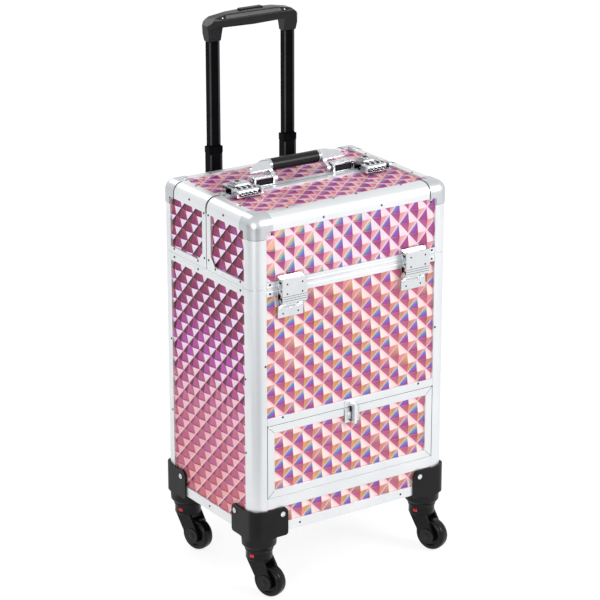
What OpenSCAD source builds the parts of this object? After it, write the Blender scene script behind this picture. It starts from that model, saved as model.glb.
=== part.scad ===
/* [Case] */
// Outside width across the front
case_w = 345; // [300:1:400]
// Outside depth, front to back
case_d = 248; // [230:1:280]
// Height of the body from its underside to the lid seam
body_h = 383; // [360:1:420]
// Height of the lid above the seam
lid_h = 109; // [105:1:125]
// Height of the case underside above the floor
caster_h = 100; // [96:1:110]

/* [Boards and edge profiles] */
// Width of the aluminium face on each side of a corner
face_w = 23.5; // [21:0.5:28]
// Radius of the rounded outer corner
corner_r = 12; // [6:0.5:14]
// Depth from the outside of a profile to the board
wall_t = 4.5; // [3.5:0.1:6]
// Thickness of the boards
board_t = 4; // [3:0.5:6]
// Thickness of the inner lip of a profile
lip_t = 1.5; // [1:0.1:2.5]
// Height of the bottom rail
foot_rail_h = 15; // [10:1:22]
// Height of the rim rail under the seam
rim_h = 12; // [9:1:18]
// Height of the lid rail over the seam
lid_rail_h = 9; // [7:1:14]

/* [Embossed skin] */
// Half the width of one embossed diamond
gem_half = 16.5; // [12:0.5:24]
// Height of the pyramids
gem_h = 2.8; // [1:0.1:3.2]
// Thickness of the sheet under the valleys
sheet_t = 0.6; // [0.4:0.1:1]

/* [Drawer] */
// Bottom of the drawer opening above the case underside
drawer_z0 = 57; // [48:1:70]
// Top of the drawer opening above the case underside
drawer_z1 = 172; // [150:1:190]
// Length of the drawer box
drawer_l = 212; // [160:1:220]
// Width of the frame round the drawer panel
drawer_frame_w = 12; // [8:1:18]
// Wall thickness of the drawer box
drawer_t = 5; // [4:0.5:8]

/* [Front and back hinges] */
// Distance of the hinge pins below the lid seam
hinge_drop = 21; // [18:1:26]
// Distance of the hinge pins outside the case
hinge_out = 7; // [6:0.5:10]
// Width of a hinge
hinge_w = 44; // [36:1:56]
// Middle of a hinge from the middle of the case
hinge_x = 109; // [90:1:120]
// Radius of the hinge pins
hinge_pin_r = 2; // [1.5:0.1:3]

/* [Trays] */
// Height of the lower trays
tray_low_h = 36; // [28:1:40]
// Height of the upper trays
tray_up_h = 31; // [24:1:34]
// Wall thickness of the trays
tray_t = 2; // [1.5:0.1:3]
// Width of the tray arms
arm_w = 10; // [8:0.5:12]
// Thickness of the tray arms
arm_t = 2.5; // [2:0.1:3]
// Distance of the arm feet inside the hinge pins
arm_dy = 45; // [44:0.5:47]
// Radius of the tray and arm pivots
pivot_r = 3; // [2:0.1:4]

/* [Carrying handle] */
// Middle of a bracket from the middle of the case
bail_x = 70; // [60:1:80]
// Length of the arms
bail_arm = 26; // [22:1:32]
// Angle of the folded arms over the top
bail_rest = 32; // [20:1:40]
// Radius of the grip
bail_grip_r = 9.5; // [7:0.5:11]
// Half the width of a handle bracket
bracket_half = 18; // [14:0.5:20]
// Height of the handle brackets
bail_bracket_h = 14; // [12.5:0.5:16]

/* [Locks] */
// Middle of a lock from the middle of the case
lock_x = 114; // [108:1:120]
// Width of a lock
lock_w = 46; // [36:1:50]
// Reach of the lock bases in front of the seam
lock_base_l = 29; // [26:1:34]
// Reach of the lock claws behind the seam
lock_reach = 20.5; // [19.5:0.5:24]
// Thickness of the lock plates
lock_plate_t = 1.5; // [1:0.1:2]

/* [Trolley handle] */
// Middle of a tube from the middle of the case
tube_x = 66.7; // [55:0.5:85]
// Middle of a tube behind the back of the case
tube_out = 23; // [20:0.5:28]
// Width of the inner tubes
tube_w = 19; // [17:0.5:24]
// Depth of the inner tubes
tube_d = 10; // [9:0.5:14]
// Wall of the sleeves
sleeve_t = 1.3; // [1:0.1:2]
// Length of the sleeves
sleeve_l = 264; // [240:1:270]
// Top of the raised sleeves over the lid
sleeve_up = 27; // [15:1:40]
// Shoulder of the raised grip over the lid
grip_up = 208; // [150:1:230]
// Wall of the fixed channels
channel_t = 3; // [2:0.1:4]
// Width of the brackets that hold the channels
foot_w = 30; // [20:1:34]
// Width of the grip
grip_w = 161; // [154:1:180]
// Depth of the grip
grip_d = 24; // [21:0.5:30]
// Travel of the push button
button_travel = 2.5; // [2:0.5:4]

/* [Casters] */
// Caster axis from the sides of the case
caster_in = 23; // [18:0.5:26]
// Radius of the wheels
wheel_r = 25; // [22:0.5:27]
// Width of the wheels
wheel_w = 18; // [14:0.5:20]
// Axle behind the swivel axis
trail = 20; // [16:0.5:24]
// Wall of the corner brackets
bracket_t = 3; // [2:0.1:4]
// Length of the bracket legs
bracket_leg = 58; // [52:1:62]
// Height of the bracket ears above the case underside
bracket_up = 40.5; // [34:0.5:46]
// Radius of the ears round their screws
ear_r = 10.5; // [8:0.5:13]
// Radius of the bracket neck
neck_r = 26.5; // [22:0.5:27.5]
// Radius of the collar under the neck
collar_r = 21.5; // [18:0.5:22]
// Radius of the swivel housing
housing_r = 20; // [16:0.5:21]
// Height of the swivel housing
housing_h = 15.5; // [11:0.5:17]
// Thickness of the fork plates
fork_t = 4; // [3:0.1:5]
// Radius of the fork plates round the axle
hub_r = 12.5; // [10:0.5:15]
// Radius of the axles
axle_r = 3; // [2:0.1:4]
// Heading of the front left caster from straight ahead
head_fl = 20; // [0:1:20]
// Heading of the front right caster
head_fr = 20; // [0:1:20]
// Heading of the rear left caster
head_rl = 16; // [0:1:20]
// Heading of the rear right caster
head_rr = 12; // [0:1:20]

/* [Hidden] */
// Clearances: flat faces, running fits, between trays and neighbours
flat_gap = 0.15;
run_gap = 0.05;
slide_gap = 0.5;
// Derived heights from the floor and half sizes
case_z = caster_h;
seam_z = caster_h + body_h;
top_z = seam_z + lid_h;
half_w = case_w / 2;
half_d = case_d / 2;
in_d = wall_t + board_t;
lip_in = in_d + lip_t;
web_t = 2;
panel_w = case_w - 2 * face_w;
panel_d = case_d - 2 * face_w;
skin_t = sheet_t + gem_h;
lid_half_gap = 0.6;
seam_strip_w = 11;
gusset_t = 1;
drawer_front_w = panel_w - 1;
drawer_front_gap = 0.5;
opening_strip_top = 12;
opening_strip_bot = 17;
hinge_y = half_d + hinge_out;
pin_z = seam_z - hinge_drop;
strap_w = 30;
strap_z1 = seam_z - 85;
strap_z0 = strap_z1 - strap_w;
tray_end_x = half_w - in_d - 9;
arm_x = half_w - in_d - 4;
arm_dz = 4;
arm_end_y = 12;
tray_step = (hinge_y - arm_dy - arm_end_y) / 2;
knuckle_r = 4.6;
stem_r = 5;
lid_z0 = seam_z + 0.3;
lock_pin_y = -20;
lock_pin_up = 6;
lock_pin_r = 1.8;
lock_lever_h = 10;
lock_cheek = 4;
catch_plate_t = 1.2;
catch_half = 13;
catch_drop = 13;
fin_half = 2.2;
fin_r = 3;
bail_y = 10;
bail_up = 7;
bail_pin_r = 3;
bail_bar_r = 4;
bail_wall = 3;
bail_x_in = bail_x - 25.5;
channel_z0 = 20;
channel_z1 = strap_z1 - case_z + 2;
sleeve_top = body_h + lid_h + sleeve_up;
sleeve_lip = 10;
grip_z = body_h + lid_h + grip_up;
groove_w = 11;
groove_t = 1;
socket_t = 1.2;
socket_h = 19;
end_cut = 5;
button_w = 40;
button_d = 9;
batten_w = 10;
runner_h = 24;
bracket_low = 5.5;
ear_foot_r = 5;
ear_dip = 1.7;
collar_h = 9;
neck_drop = 19;
// Section of a wheel from the axle outwards, and how far the casters and the grip reach
wheel_sec = [[wheel_r - 3, wheel_w / 2], [wheel_r - 0.8, wheel_w / 2 - 2.4], [wheel_r, wheel_w / 2 - 5.5]];
function wheel_reach(h) = trail * cos(h) + max([for (q = wheel_sec) q[0] * cos(h) + q[1] * sin(h)]);
front_reach = half_d - caster_in + max(wheel_reach(head_fl), wheel_reach(head_fr));
back_reach = half_d + tube_out + grip_d / 2;
shift_y = (front_reach - back_reach) / 2;
seg = 48;

silver = [0.82, 0.83, 0.85];
chrome = [0.75, 0.77, 0.8];
pink = [0.86, 0.5, 0.66];
black = [0.08, 0.08, 0.09];
wood = [0.25, 0.22, 0.22];

// Embossed sheet in the XY plane, its back at z 0, centred: peaks where i + j is even
module embossed(w, h) {
  nx = max(1, round(w / gem_half));
  ny = max(1, round(h / gem_half));
  top = [for (j = [0:ny]) for (i = [0:nx])
    [-w / 2 + i * w / nx, -h / 2 + j * h / ny, (i + j) % 2 == 0 ? skin_t : sheet_t]];
  back = [[-w / 2, -h / 2, 0], [w / 2, -h / 2, 0], [w / 2, h / 2, 0], [-w / 2, h / 2, 0]];
  n = (nx + 1) * (ny + 1);
  row = nx + 1;
  tris = [for (j = [0:ny - 1]) for (i = [0:nx - 1])
    let (a = j * row + i, b = a + 1, c = a + row + 1, d = a + row)
    each ((i + j) % 2 == 0 ? [[a, d, b], [b, d, c]] : [[a, c, b], [a, d, c]])];
  south = concat([for (i = [0:nx]) i], [n + 1, n]);
  north = concat([for (i = [nx:-1:0]) ny * row + i], [n + 3, n + 2]);
  west = concat([for (j = [ny:-1:0]) j * row], [n, n + 3]);
  east = concat([for (j = [0:ny]) j * row + nx], [n + 2, n + 1]);
  polyhedron(points = concat(top, back),
    faces = concat(tris, [south, north, west, east], [[n, n + 1, n + 2, n + 3]]));
}
// Sheet on an upright face: side 0 front, 1 right, 2 back, 3 left, between two heights
module wall_skin(side, w, z0, z1, shift = 0) {
  off = (side % 2 == 0 ? half_d : half_w) - wall_t;
  rotate([0, 0, side * 90])
    translate([shift, -off, (z0 + z1) / 2])
      rotate([90, 0, 0])
        embossed(w - 2 * flat_gap, z1 - z0 - 2 * flat_gap);
}
// Section of a corner profile: outer corner at the origin, legs along +X and +Y
module corner_section() {
  difference() {
    union() {
      translate([corner_r, corner_r])
        circle(corner_r, $fn = seg);
      translate([corner_r, 0])
        square([face_w - corner_r, lip_in]);
      translate([0, corner_r])
        square([lip_in, face_w - corner_r]);
      translate([corner_r / 2, corner_r / 2])
        square([lip_in - corner_r / 2, lip_in - corner_r / 2]);
    }
    translate([corner_r, wall_t])
      square([face_w, board_t]);
    translate([wall_t, corner_r])
      square([board_t, face_w]);
    translate([lip_in, lip_in])
      square(face_w);
    translate([face_w - 3.5, wall_t + 0.1])
      square([face_w, face_w]);
    translate([wall_t + 0.1, face_w - 3.5])
      square([face_w, face_w]);
  }
}
// Copies to the four corners
module four_corners() {
  for (mx = [0, 1])
    for (my = [0, 1])
      mirror([mx, 0, 0])
        mirror([0, my, 0])
          children();
}
// Copies left and right
module both_sides() {
  for (mx = [0, 1])
    mirror([mx, 0, 0])
      children();
}
// Block between two corners given as lists
module block(a, b) {
  translate(a)
    cube(b - a);
}

// Moves the model so that the origin is under the middle of its box
module placed() {
  translate([0, shift_y, 0])
    children();
}

/* body */
module base_board() {
  placed() color(wood)
    block([-half_w + lip_in + flat_gap, -half_d + lip_in + flat_gap, case_z + web_t],
      [half_w - lip_in - flat_gap, half_d - lip_in - flat_gap, case_z + web_t + 7]);
}
module front_board() {
  placed() color(wood)
    difference() {
      block([-half_w + corner_r, -half_d + wall_t, case_z + web_t],
        [half_w - corner_r, -half_d + in_d, seam_z - web_t]);
      block([-panel_w / 2, -half_d, case_z + drawer_z0],
        [panel_w / 2, 0, case_z + drawer_z1]);
    }
}
module side_boards() {
  placed() color(wood)
    both_sides()
      difference() {
        block([half_w - in_d, -half_d + corner_r, case_z + web_t],
          [half_w - wall_t, half_d - corner_r, seam_z - web_t]);
        for (s = [-1, 1])
          arm_foot(s)
            rotate([0, 90, 0])
              cylinder(h = 4 * board_t, r = pivot_r + run_gap, center = true, $fn = seg);
      }
}
// Place of an arm's foot pivot on the inside of the right board
module arm_foot(s) {
  translate([half_w - wall_t, s * (hinge_y - arm_dy), pin_z + arm_dz])
    children();
}
module back_board() {
  placed() color(wood)
    block([-half_w + corner_r, half_d - in_d, case_z + web_t],
      [half_w - corner_r, half_d - wall_t, seam_z - web_t]);
}
module front_skin() {
  placed() color(pink) {
    wall_skin(0, panel_w, case_z + drawer_z1 + opening_strip_top, seam_z - rim_h);
    wall_skin(0, panel_w, case_z + foot_rail_h, case_z + drawer_z0 - opening_strip_bot);
  }
}
module side_skins() {
  placed() color(pink)
    for (side = [1, 3])
      wall_skin(side, panel_d, case_z + foot_rail_h, seam_z - rim_h);
}
module back_skin() {
  placed() color(pink) {
    wall_skin(2, panel_w, case_z + foot_rail_h, strap_z0);
    wall_skin(2, panel_w, strap_z1, seam_z - rim_h);
  }
}
module corner_posts() {
  placed() color(silver)
    four_corners()
      translate([-half_w, -half_d, case_z])
        linear_extrude(height = body_h)
          corner_section();
}
// Channel rail along X on the front: outer wall, web, inner lip
module rim_piece(len, z_face, z_web, wall_h) {
  up = z_web > z_face ? 1 : 0;
  block([-len / 2, 0, z_face], [len / 2, wall_t, z_face + wall_h]);
  block([-len / 2, 0, z_web - (up ? web_t : 0)], [len / 2, lip_in, z_web + (up ? 0 : web_t)]);
  block([-len / 2, in_d, z_face], [len / 2, lip_in, z_face + wall_h]);
}
module rim_rail() {
  placed() color(silver)
    for (side = [0:3])
      rotate([0, 0, side * 90])
        translate([0, -(side % 2 == 0 ? half_d : half_w), 0])
          rim_piece((side % 2 == 0 ? panel_w : panel_d) - 2 * flat_gap, seam_z - rim_h, seam_z, rim_h);
}
module bottom_rail() {
  placed() color(silver)
    for (side = [0:3])
      rotate([0, 0, side * 90])
        translate([0, -(side % 2 == 0 ? half_d : half_w), 0]) {
          len = (side % 2 == 0 ? panel_w : panel_d) - 2 * flat_gap;
          block([-len / 2, 0, case_z], [len / 2, wall_t, case_z + foot_rail_h]);
          block([-len / 2, 0, case_z], [len / 2, face_w, case_z + web_t]);
        }
}
module drawer_surround() {
  len = panel_w - 2 * flat_gap;
  placed() color(silver) {
    block([-len / 2, -half_d, case_z + drawer_z1],
      [len / 2, -half_d + wall_t, case_z + drawer_z1 + opening_strip_top]);
    block([-len / 2, -half_d, case_z + drawer_z0 - opening_strip_bot],
      [len / 2, -half_d + wall_t, case_z + drawer_z0]);
  }
}
module drawer_shelf() {
  placed() color(wood)
    block([-half_w + lip_in + flat_gap, -half_d + lip_in + flat_gap, case_z + drawer_z1 + 4],
      [half_w - lip_in - flat_gap, half_d - lip_in - flat_gap, case_z + drawer_z1 + 9]);
}
module shelf_battens() {
  placed() color(wood)
    both_sides()
      block([half_w - in_d - batten_w, -half_d + face_w + 2, case_z + drawer_z1 + 4 - batten_w],
        [half_w - in_d, half_d - face_w - 2, case_z + drawer_z1 + 4]);
}
module drawer_runners() {
  placed() color(silver)
    both_sides() {
      block([panel_w / 2 - batten_w, -half_d + face_w + 2, case_z + drawer_z0 + 1.5],
        [half_w - in_d, half_d - face_w - 2, case_z + drawer_z0 + 4.5]);
      block([panel_w / 2 + 0.5, -half_d + face_w + 2, case_z + drawer_z0 + 4.5],
        [half_w - in_d, half_d - face_w - 2, case_z + drawer_z0 + runner_h]);
    }
}

/* drawer */
module drawer_box() {
  y0 = -half_d + wall_t;
  y1 = y0 + drawer_l;
  bw = drawer_front_w / 2 - 1.5;
  z0 = case_z + drawer_z0 + 4.8;
  z1 = case_z + drawer_z1 - 14;
  placed() color(wood)
    difference() {
      union() {
        block([-bw, y0, z0], [bw, y1, z1]);
        block([-drawer_front_w / 2, y0, case_z + drawer_z0 + drawer_front_gap],
          [drawer_front_w / 2, y0 + board_t, case_z + drawer_z1 - drawer_front_gap]);
      }
      block([-bw + drawer_t, y0 + board_t + 1, z0 + drawer_t], [bw - drawer_t, y1 - drawer_t, z1 + 5]);
    }
}
module drawer_frame() {
  hw = drawer_front_w / 2;
  z0 = case_z + drawer_z0 + drawer_front_gap;
  z1 = case_z + drawer_z1 - drawer_front_gap;
  fw = drawer_frame_w;
  placed() color(silver)
    difference() {
      block([-hw, -half_d, z0], [hw, -half_d + wall_t, z1]);
      block([-hw + fw, -half_d - 5, z0 + fw], [hw - fw, -half_d + 10, z1 - fw]);
    }
}
module drawer_skin() {
  placed() color(pink)
    wall_skin(0, drawer_front_w - 2 * drawer_frame_w, case_z + drawer_z0 + drawer_front_gap + drawer_frame_w,
      case_z + drawer_z1 - drawer_front_gap - drawer_frame_w);
}
module catch_keeper() {
  z = case_z + drawer_z1;
  placed() color(chrome) {
    block([-catch_half, -half_d - catch_plate_t, z + 1], [catch_half, -half_d, z + 11]);
    block([-4, -half_d - 4, z + 2], [4, -half_d - catch_plate_t, z + 9]);
  }
}
module catch_base() {
  z = case_z + drawer_z1;
  placed() color(chrome)
    difference() {
      union() {
        block([-catch_half, -half_d - catch_plate_t, z - 24], [catch_half, -half_d, z - 1]);
        translate([0, -half_d - catch_plate_t, z - catch_drop])
          rotate([90, 0, 0])
            cylinder(h = 2.8, r = 7, $fn = seg);
      }
      translate([0, -half_d - 0.3, z - catch_drop])
        rotate([90, 0, 0])
          cylinder(h = 8, r = fin_r + run_gap, $fn = seg);
    }
}
module catch_fin() {
  z = case_z + drawer_z1 - catch_drop;
  y = -half_d - 4.3;
  placed() color(chrome) {
    translate([0, -half_d - 0.6, z])
      rotate([90, 0, 0])
        cylinder(h = 6, r = fin_r, $fn = seg);
    difference() {
      block([-fin_half, y - 7, z - 11], [fin_half, y, z + 19]);
      block([-5, y - 4.5, z - 8], [5, y - 2.5, z + 16]);
    }
  }
}

/* lid halves, drawn for the front and mirrored for the back */
module at_back() {
  translate([0, 2 * shift_y, 0])
    mirror([0, 1, 0])
      children();
}
module lid_boards() {
  y1 = -lid_half_gap;
  placed() color(wood) {
    block([-half_w + corner_r, -half_d + wall_t, lid_z0 + web_t],
      [half_w - corner_r, -half_d + in_d, top_z - corner_r]);
    block([-half_w + corner_r, -half_d + corner_r, top_z - in_d],
      [half_w - corner_r, y1, top_z - wall_t]);
    both_sides()
      difference() {
        block([half_w - in_d, -half_d + corner_r, lid_z0 + web_t],
          [half_w - wall_t, y1, top_z - corner_r]);
        for (k = [1, 2])
          tray_pivot(k)
            rotate([0, 90, 0])
              cylinder(h = 4 * board_t, r = pivot_r + run_gap, center = true, $fn = seg);
      }
  }
}
// Place of a tray's pivot on the inside of the right end board: 1 lower, 2 upper
module tray_pivot(k) {
  translate([half_w - wall_t, -hinge_y + k * tray_step, pin_z + k * tray_step])
    children();
}
module lid_skin() {
  y0 = half_d - face_w;
  y1 = lid_half_gap + seam_strip_w;
  z0 = lid_z0 + lid_rail_h;
  z1 = top_z - face_w;
  placed() color(pink) {
    wall_skin(0, panel_w, z0, z1);
    wall_skin(1, y0 - y1, z0, z1, -(y0 + y1) / 2);
    wall_skin(3, y0 - y1, z0, z1, (y0 + y1) / 2);
    translate([0, -(y0 + y1) / 2, top_z - wall_t])
      embossed(panel_w - 2 * flat_gap, y0 - y1 - 2 * flat_gap);
  }
}
module lid_rails() {
  cap = face_w + flat_gap;
  y1 = -lid_half_gap;
  z0 = lid_z0 + lid_rail_h;
  placed() color(silver) {
    translate([-half_w + cap, -half_d, top_z])
      rotate([90, 0, 90])
        mirror([0, 1, 0])
          linear_extrude(height = case_w - 2 * cap)
            corner_section();
    both_sides() {
      translate([-half_w, y1, top_z])
        rotate([90, 0, 0])
          mirror([0, 1, 0])
            linear_extrude(height = half_d - cap - lid_half_gap)
              corner_section();
      translate([-half_w, -half_d, lid_z0])
        linear_extrude(height = top_z - cap - lid_z0)
          corner_section();
      block([-half_w, y1 - seam_strip_w, z0], [-half_w + wall_t, y1, top_z - face_w]);
      translate([-half_w + gusset_t, 0, 0])
        rotate([90, 0, -90])
          linear_extrude(height = gusset_t)
            polygon([[-y1 + seam_strip_w, z0], [-y1 + seam_strip_w + 12, z0],
              [-y1 + seam_strip_w, z0 + 12]]);
      translate([0, 0, lid_z0])
        rotate([0, 0, 90])
          translate([-(half_d - face_w + lid_half_gap) / 2, -half_w, 0])
            rim_piece(half_d - face_w - lid_half_gap - 2 * flat_gap, 0, 0, lid_rail_h);
    }
    block([-panel_w / 2, y1 - seam_strip_w, top_z - wall_t], [panel_w / 2, y1, top_z]);
    translate([0, -half_d, lid_z0])
      rim_piece(panel_w - 2 * flat_gap, 0, 0, lid_rail_h);
  }
}
// Solid ball corner with rounded edges: side length, growth outside the case
module rounded_corner(len, grow) {
  r = corner_r + grow;
  e = len - corner_r;
  translate([corner_r, corner_r, corner_r]) {
    sphere(r, $fn = seg);
    cylinder(h = e, r = r, $fn = seg);
    rotate([0, 90, 0])
      cylinder(h = e, r = r, $fn = seg);
    rotate([-90, 0, 0])
      cylinder(h = e, r = r, $fn = seg);
    block([0, 0, -r], [e, e, e]);
    block([0, -r, 0], [e, e, e]);
    block([-r, 0, 0], [e, e, e]);
  }
}
// Solid corner along Z with one rounded edge
module corner_post_form(len, grow) {
  r = corner_r + grow;
  translate([-grow, -grow, -grow])
    linear_extrude(height = len + grow) {
      translate([r, r])
        circle(r, $fn = seg);
      translate([r, 0])
        square([len - r + grow, len + grow]);
      translate([0, r])
        square([len + grow, len - r + grow]);
    }
}
module lid_caps() {
  proud = 1.2;
  cap_t = 2;
  over = 10;
  len = face_w + over;
  placed() color(chrome)
    both_sides()
      translate([-half_w, -half_d, top_z])
        mirror([0, 0, 1])
          difference() {
            rounded_corner(len, proud);
            intersection() {
              block([wall_t, wall_t, wall_t], [len + 1, len + 1, len + 1]);
              rounded_corner(len + 2, proud - cap_t);
            }
            translate([0, 0, face_w])
              corner_post_form(len, 0);
            translate([face_w, 0, 0])
              rotate([90, 0, 90])
                corner_post_form(len, 0);
            translate([0, face_w, 0])
              rotate([0, -90, -90])
                corner_post_form(len, 0);
          }
}
// Slab of a hinge section between two places along the pin: +X towards the case, +Y up
module hinge_slab(x0, x1, points, barrel) {
  translate([x0, 0, 0])
    rotate([90, 0, 90])
      linear_extrude(height = x1 - x0)
        difference() {
          union() {
            polygon(points);
            if (barrel)
              circle(knuckle_r, $fn = seg);
          }
          if (barrel)
            circle(hinge_pin_r + run_gap, $fn = seg);
        }
}
module hinge_places() {
  for (sx = [-1, 1])
    translate([sx * hinge_x, -hinge_y, pin_z])
      children();
}
module upper_leaves() {
  o = hinge_out;
  s = hinge_drop;
  placed() color(chrome)
    hinge_places() {
      hinge_slab(-hinge_w / 2, hinge_w / 2, [[-knuckle_r, 7], [-knuckle_r, 11], [o - 3, s + 3.5],
        [o - 1.5, s + 8], [o - 1.5, s + 17], [o, s + 17], [o, s + 0.8], [o - 1.2, s + 0.8],
        [-1.4, 10], [-1.4, 7]], false);
      hinge_slab(-hinge_w / 4, hinge_w / 4, [[-knuckle_r, 0], [-knuckle_r, 8], [-1.4, 8],
        [-1.4, 0]], true);
    }
}
module lower_leaves_at() {
  o = hinge_out;
  s = hinge_drop;
  pts = [[-knuckle_r + 1.2, -3], [o - 1.5, -9], [o - 1.5, -26], [o, -26], [o, s - 7],
    [o - 1.5, s - 7], [o - 1.5, 0.5], [0, 3]];
  hinge_places() {
    hinge_slab(-hinge_w / 2, -hinge_w / 4 - 0.3, pts, true);
    hinge_slab(hinge_w / 4 + 0.3, hinge_w / 2, pts, true);
    hinge_slab(-hinge_w / 2, hinge_w / 2, [[o - 1.5, -26], [o, -26], [o, s - 7],
      [o - 1.5, s - 7]], false);
  }
}
module lower_hinge_leaves() {
  placed() color(chrome) {
    lower_leaves_at();
    mirror([0, 1, 0])
      lower_leaves_at();
  }
}
module pins_at() {
  hinge_places()
    translate([-hinge_w / 2 - 0.8, 0, 0])
      rotate([0, 90, 0])
        cylinder(h = hinge_w + 1.6, r = hinge_pin_r, $fn = seg);
}
module hinge_pins() {
  placed() color(chrome) {
    pins_at();
    mirror([0, 1, 0])
      pins_at();
  }
}
module front_lid_shell() { lid_boards(); }
module front_lid_skin() { lid_skin(); }
module front_lid_rails() { lid_rails(); }
module front_lid_caps() { lid_caps(); }
module front_hinge_leaves() { upper_leaves(); }
module back_lid_shell() { at_back() lid_boards(); }
module back_lid_skin() { at_back() lid_skin(); }
module back_lid_rails() { at_back() lid_rails(); }
module back_lid_caps() { at_back() lid_caps(); }
module back_hinge_leaves() { at_back() upper_leaves(); }

/* trays and arms, drawn for the front */
module tray(k, y0, drop, h) {
  z0 = pin_z + k * tray_step - drop;
  y1 = -5;
  placed() color(black)
    difference() {
      union() {
        difference() {
          block([-tray_end_x, y0, z0], [tray_end_x, y1, z0 + h]);
          block([-tray_end_x + tray_t, y0 + tray_t, z0 + tray_t],
            [tray_end_x - tray_t, y1 - tray_t, z0 + h + 5]);
        }
        for (x = [-tray_end_x / 3, tray_end_x / 3])
          block([x - 0.75, y0 + tray_t / 2, z0 + tray_t / 2], [x + 0.75, y1 - tray_t / 2, z0 + h - 6]);
        both_sides()
          tray_pivot(k)
            translate([wall_t - half_w + tray_end_x - tray_t / 2, 0, 0])
              rotate([0, 90, 0])
                cylinder(h = half_w - wall_t - 0.5 - tray_end_x + tray_t / 2, r = pivot_r, $fn = seg);
      }
      both_sides()
        tray_pivot(k)
          translate([wall_t - half_w + tray_end_x, arm_dy, arm_dz])
            rotate([0, 90, 0])
              cylinder(h = 6 * tray_t, r = pivot_r + run_gap, center = true, $fn = seg);
    }
}
module lower_tray() { tray(1, -half_d + in_d + 5.5, 12, tray_low_h); }
module upper_tray() { tray(2, -hinge_y + 2 * tray_step - 35, 9, tray_up_h); }
module tray_arms() {
  len = 2 * tray_step * sqrt(2);
  placed() color(silver)
    both_sides()
      translate([arm_x - arm_t, -hinge_y + arm_dy, pin_z + arm_dz])
        rotate([45, 0, 0]) {
          block([0, 0, -arm_w / 2], [arm_t, len, arm_w / 2]);
          for (k = [0:2])
            translate([0, k * len / 2, 0])
              rotate([0, 90, 0]) {
                cylinder(h = arm_t, r = arm_w / 2 + 2, $fn = seg);
                translate([0, 0, k == 0 ? 0.5 : tray_end_x - tray_t - 0.8 - arm_x + arm_t])
                  cylinder(h = k == 0 ? half_w - wall_t - 1 - arm_x + arm_t :
                    arm_x - 0.5 - tray_end_x + tray_t + 0.8, r = pivot_r, $fn = seg);
              }
        }
}
module front_lower_tray() { lower_tray(); }
module front_upper_tray() { upper_tray(); }
module front_tray_arms() { tray_arms(); }
module back_trays() {
  at_back() {
    lower_tray();
    upper_tray();
  }
}
module back_tray_arms() { at_back() tray_arms(); }

/* locks: base and lever on the front half, strike on the back half */
module lock_base() {
  hw = lock_w / 2;
  union() {
    block([-hw, -lock_base_l, top_z], [hw, -1.2, top_z + lock_plate_t]);
    for (s = [-1, 1])
      block([s * (hw - lock_cheek / 2) - lock_cheek / 2, -lock_base_l + 1, top_z + lock_plate_t / 2],
        [s * (hw - lock_cheek / 2) + lock_cheek / 2, lock_pin_y + 7, top_z + lock_lever_h]);
    translate([-hw + 1, lock_pin_y, top_z + lock_pin_up])
      rotate([0, 90, 0])
        cylinder(h = lock_w - 2, r = lock_pin_r, $fn = seg);
  }
}
module lock_lever() {
  hw = lock_w / 2 - lock_cheek - 0.5;
  difference() {
    union() {
      translate([-hw, lock_pin_y, top_z + lock_pin_up])
        rotate([0, 90, 0])
          cylinder(h = 2 * hw, r = 4, $fn = seg);
      block([-hw, lock_pin_y, top_z + lock_lever_h - 2.5], [hw, lock_reach, top_z + lock_lever_h]);
      block([-hw, lock_reach - 2.5, top_z + 3], [hw, lock_reach, top_z + lock_lever_h - 1]);
      block([-hw + 5, -9, top_z + lock_lever_h - 1], [hw - 5, lock_reach - 5.5, top_z + lock_lever_h + 2]);
      translate([0, 8, top_z + lock_lever_h])
        cylinder(h = 4, r = 5.5, $fn = seg);
    }
    translate([-hw - 1, lock_pin_y, top_z + lock_pin_up])
      rotate([0, 90, 0])
        cylinder(h = 2 * hw + 2, r = lock_pin_r + run_gap, $fn = seg);
    block([-0.8, 5, top_z + lock_lever_h + 2.5], [0.8, 11, top_z + 2 * lock_lever_h]);
  }
}
module lock_strike() {
  hw = lock_w / 2;
  block([-hw, 1.2, top_z], [hw, lock_reach - 4.5, top_z + lock_plate_t]);
  block([-hw + 6, lock_reach - 8, top_z + 1], [hw - 6, lock_reach - 5.2, top_z + 5]);
}
module lock_bases() {
  placed() color(chrome)
    for (s = [-1, 1])
      translate([s * lock_x, 0, 0])
        lock_base();
}
module left_lock_lever() {
  placed() color(chrome)
    translate([-lock_x, 0, 0])
      lock_lever();
}
module right_lock_lever() {
  placed() color(chrome)
    translate([lock_x, 0, 0])
      lock_lever();
}
module lock_strikes() {
  placed() color(chrome)
    for (s = [-1, 1])
      translate([s * lock_x, 0, 0])
        lock_strike();
}

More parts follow.
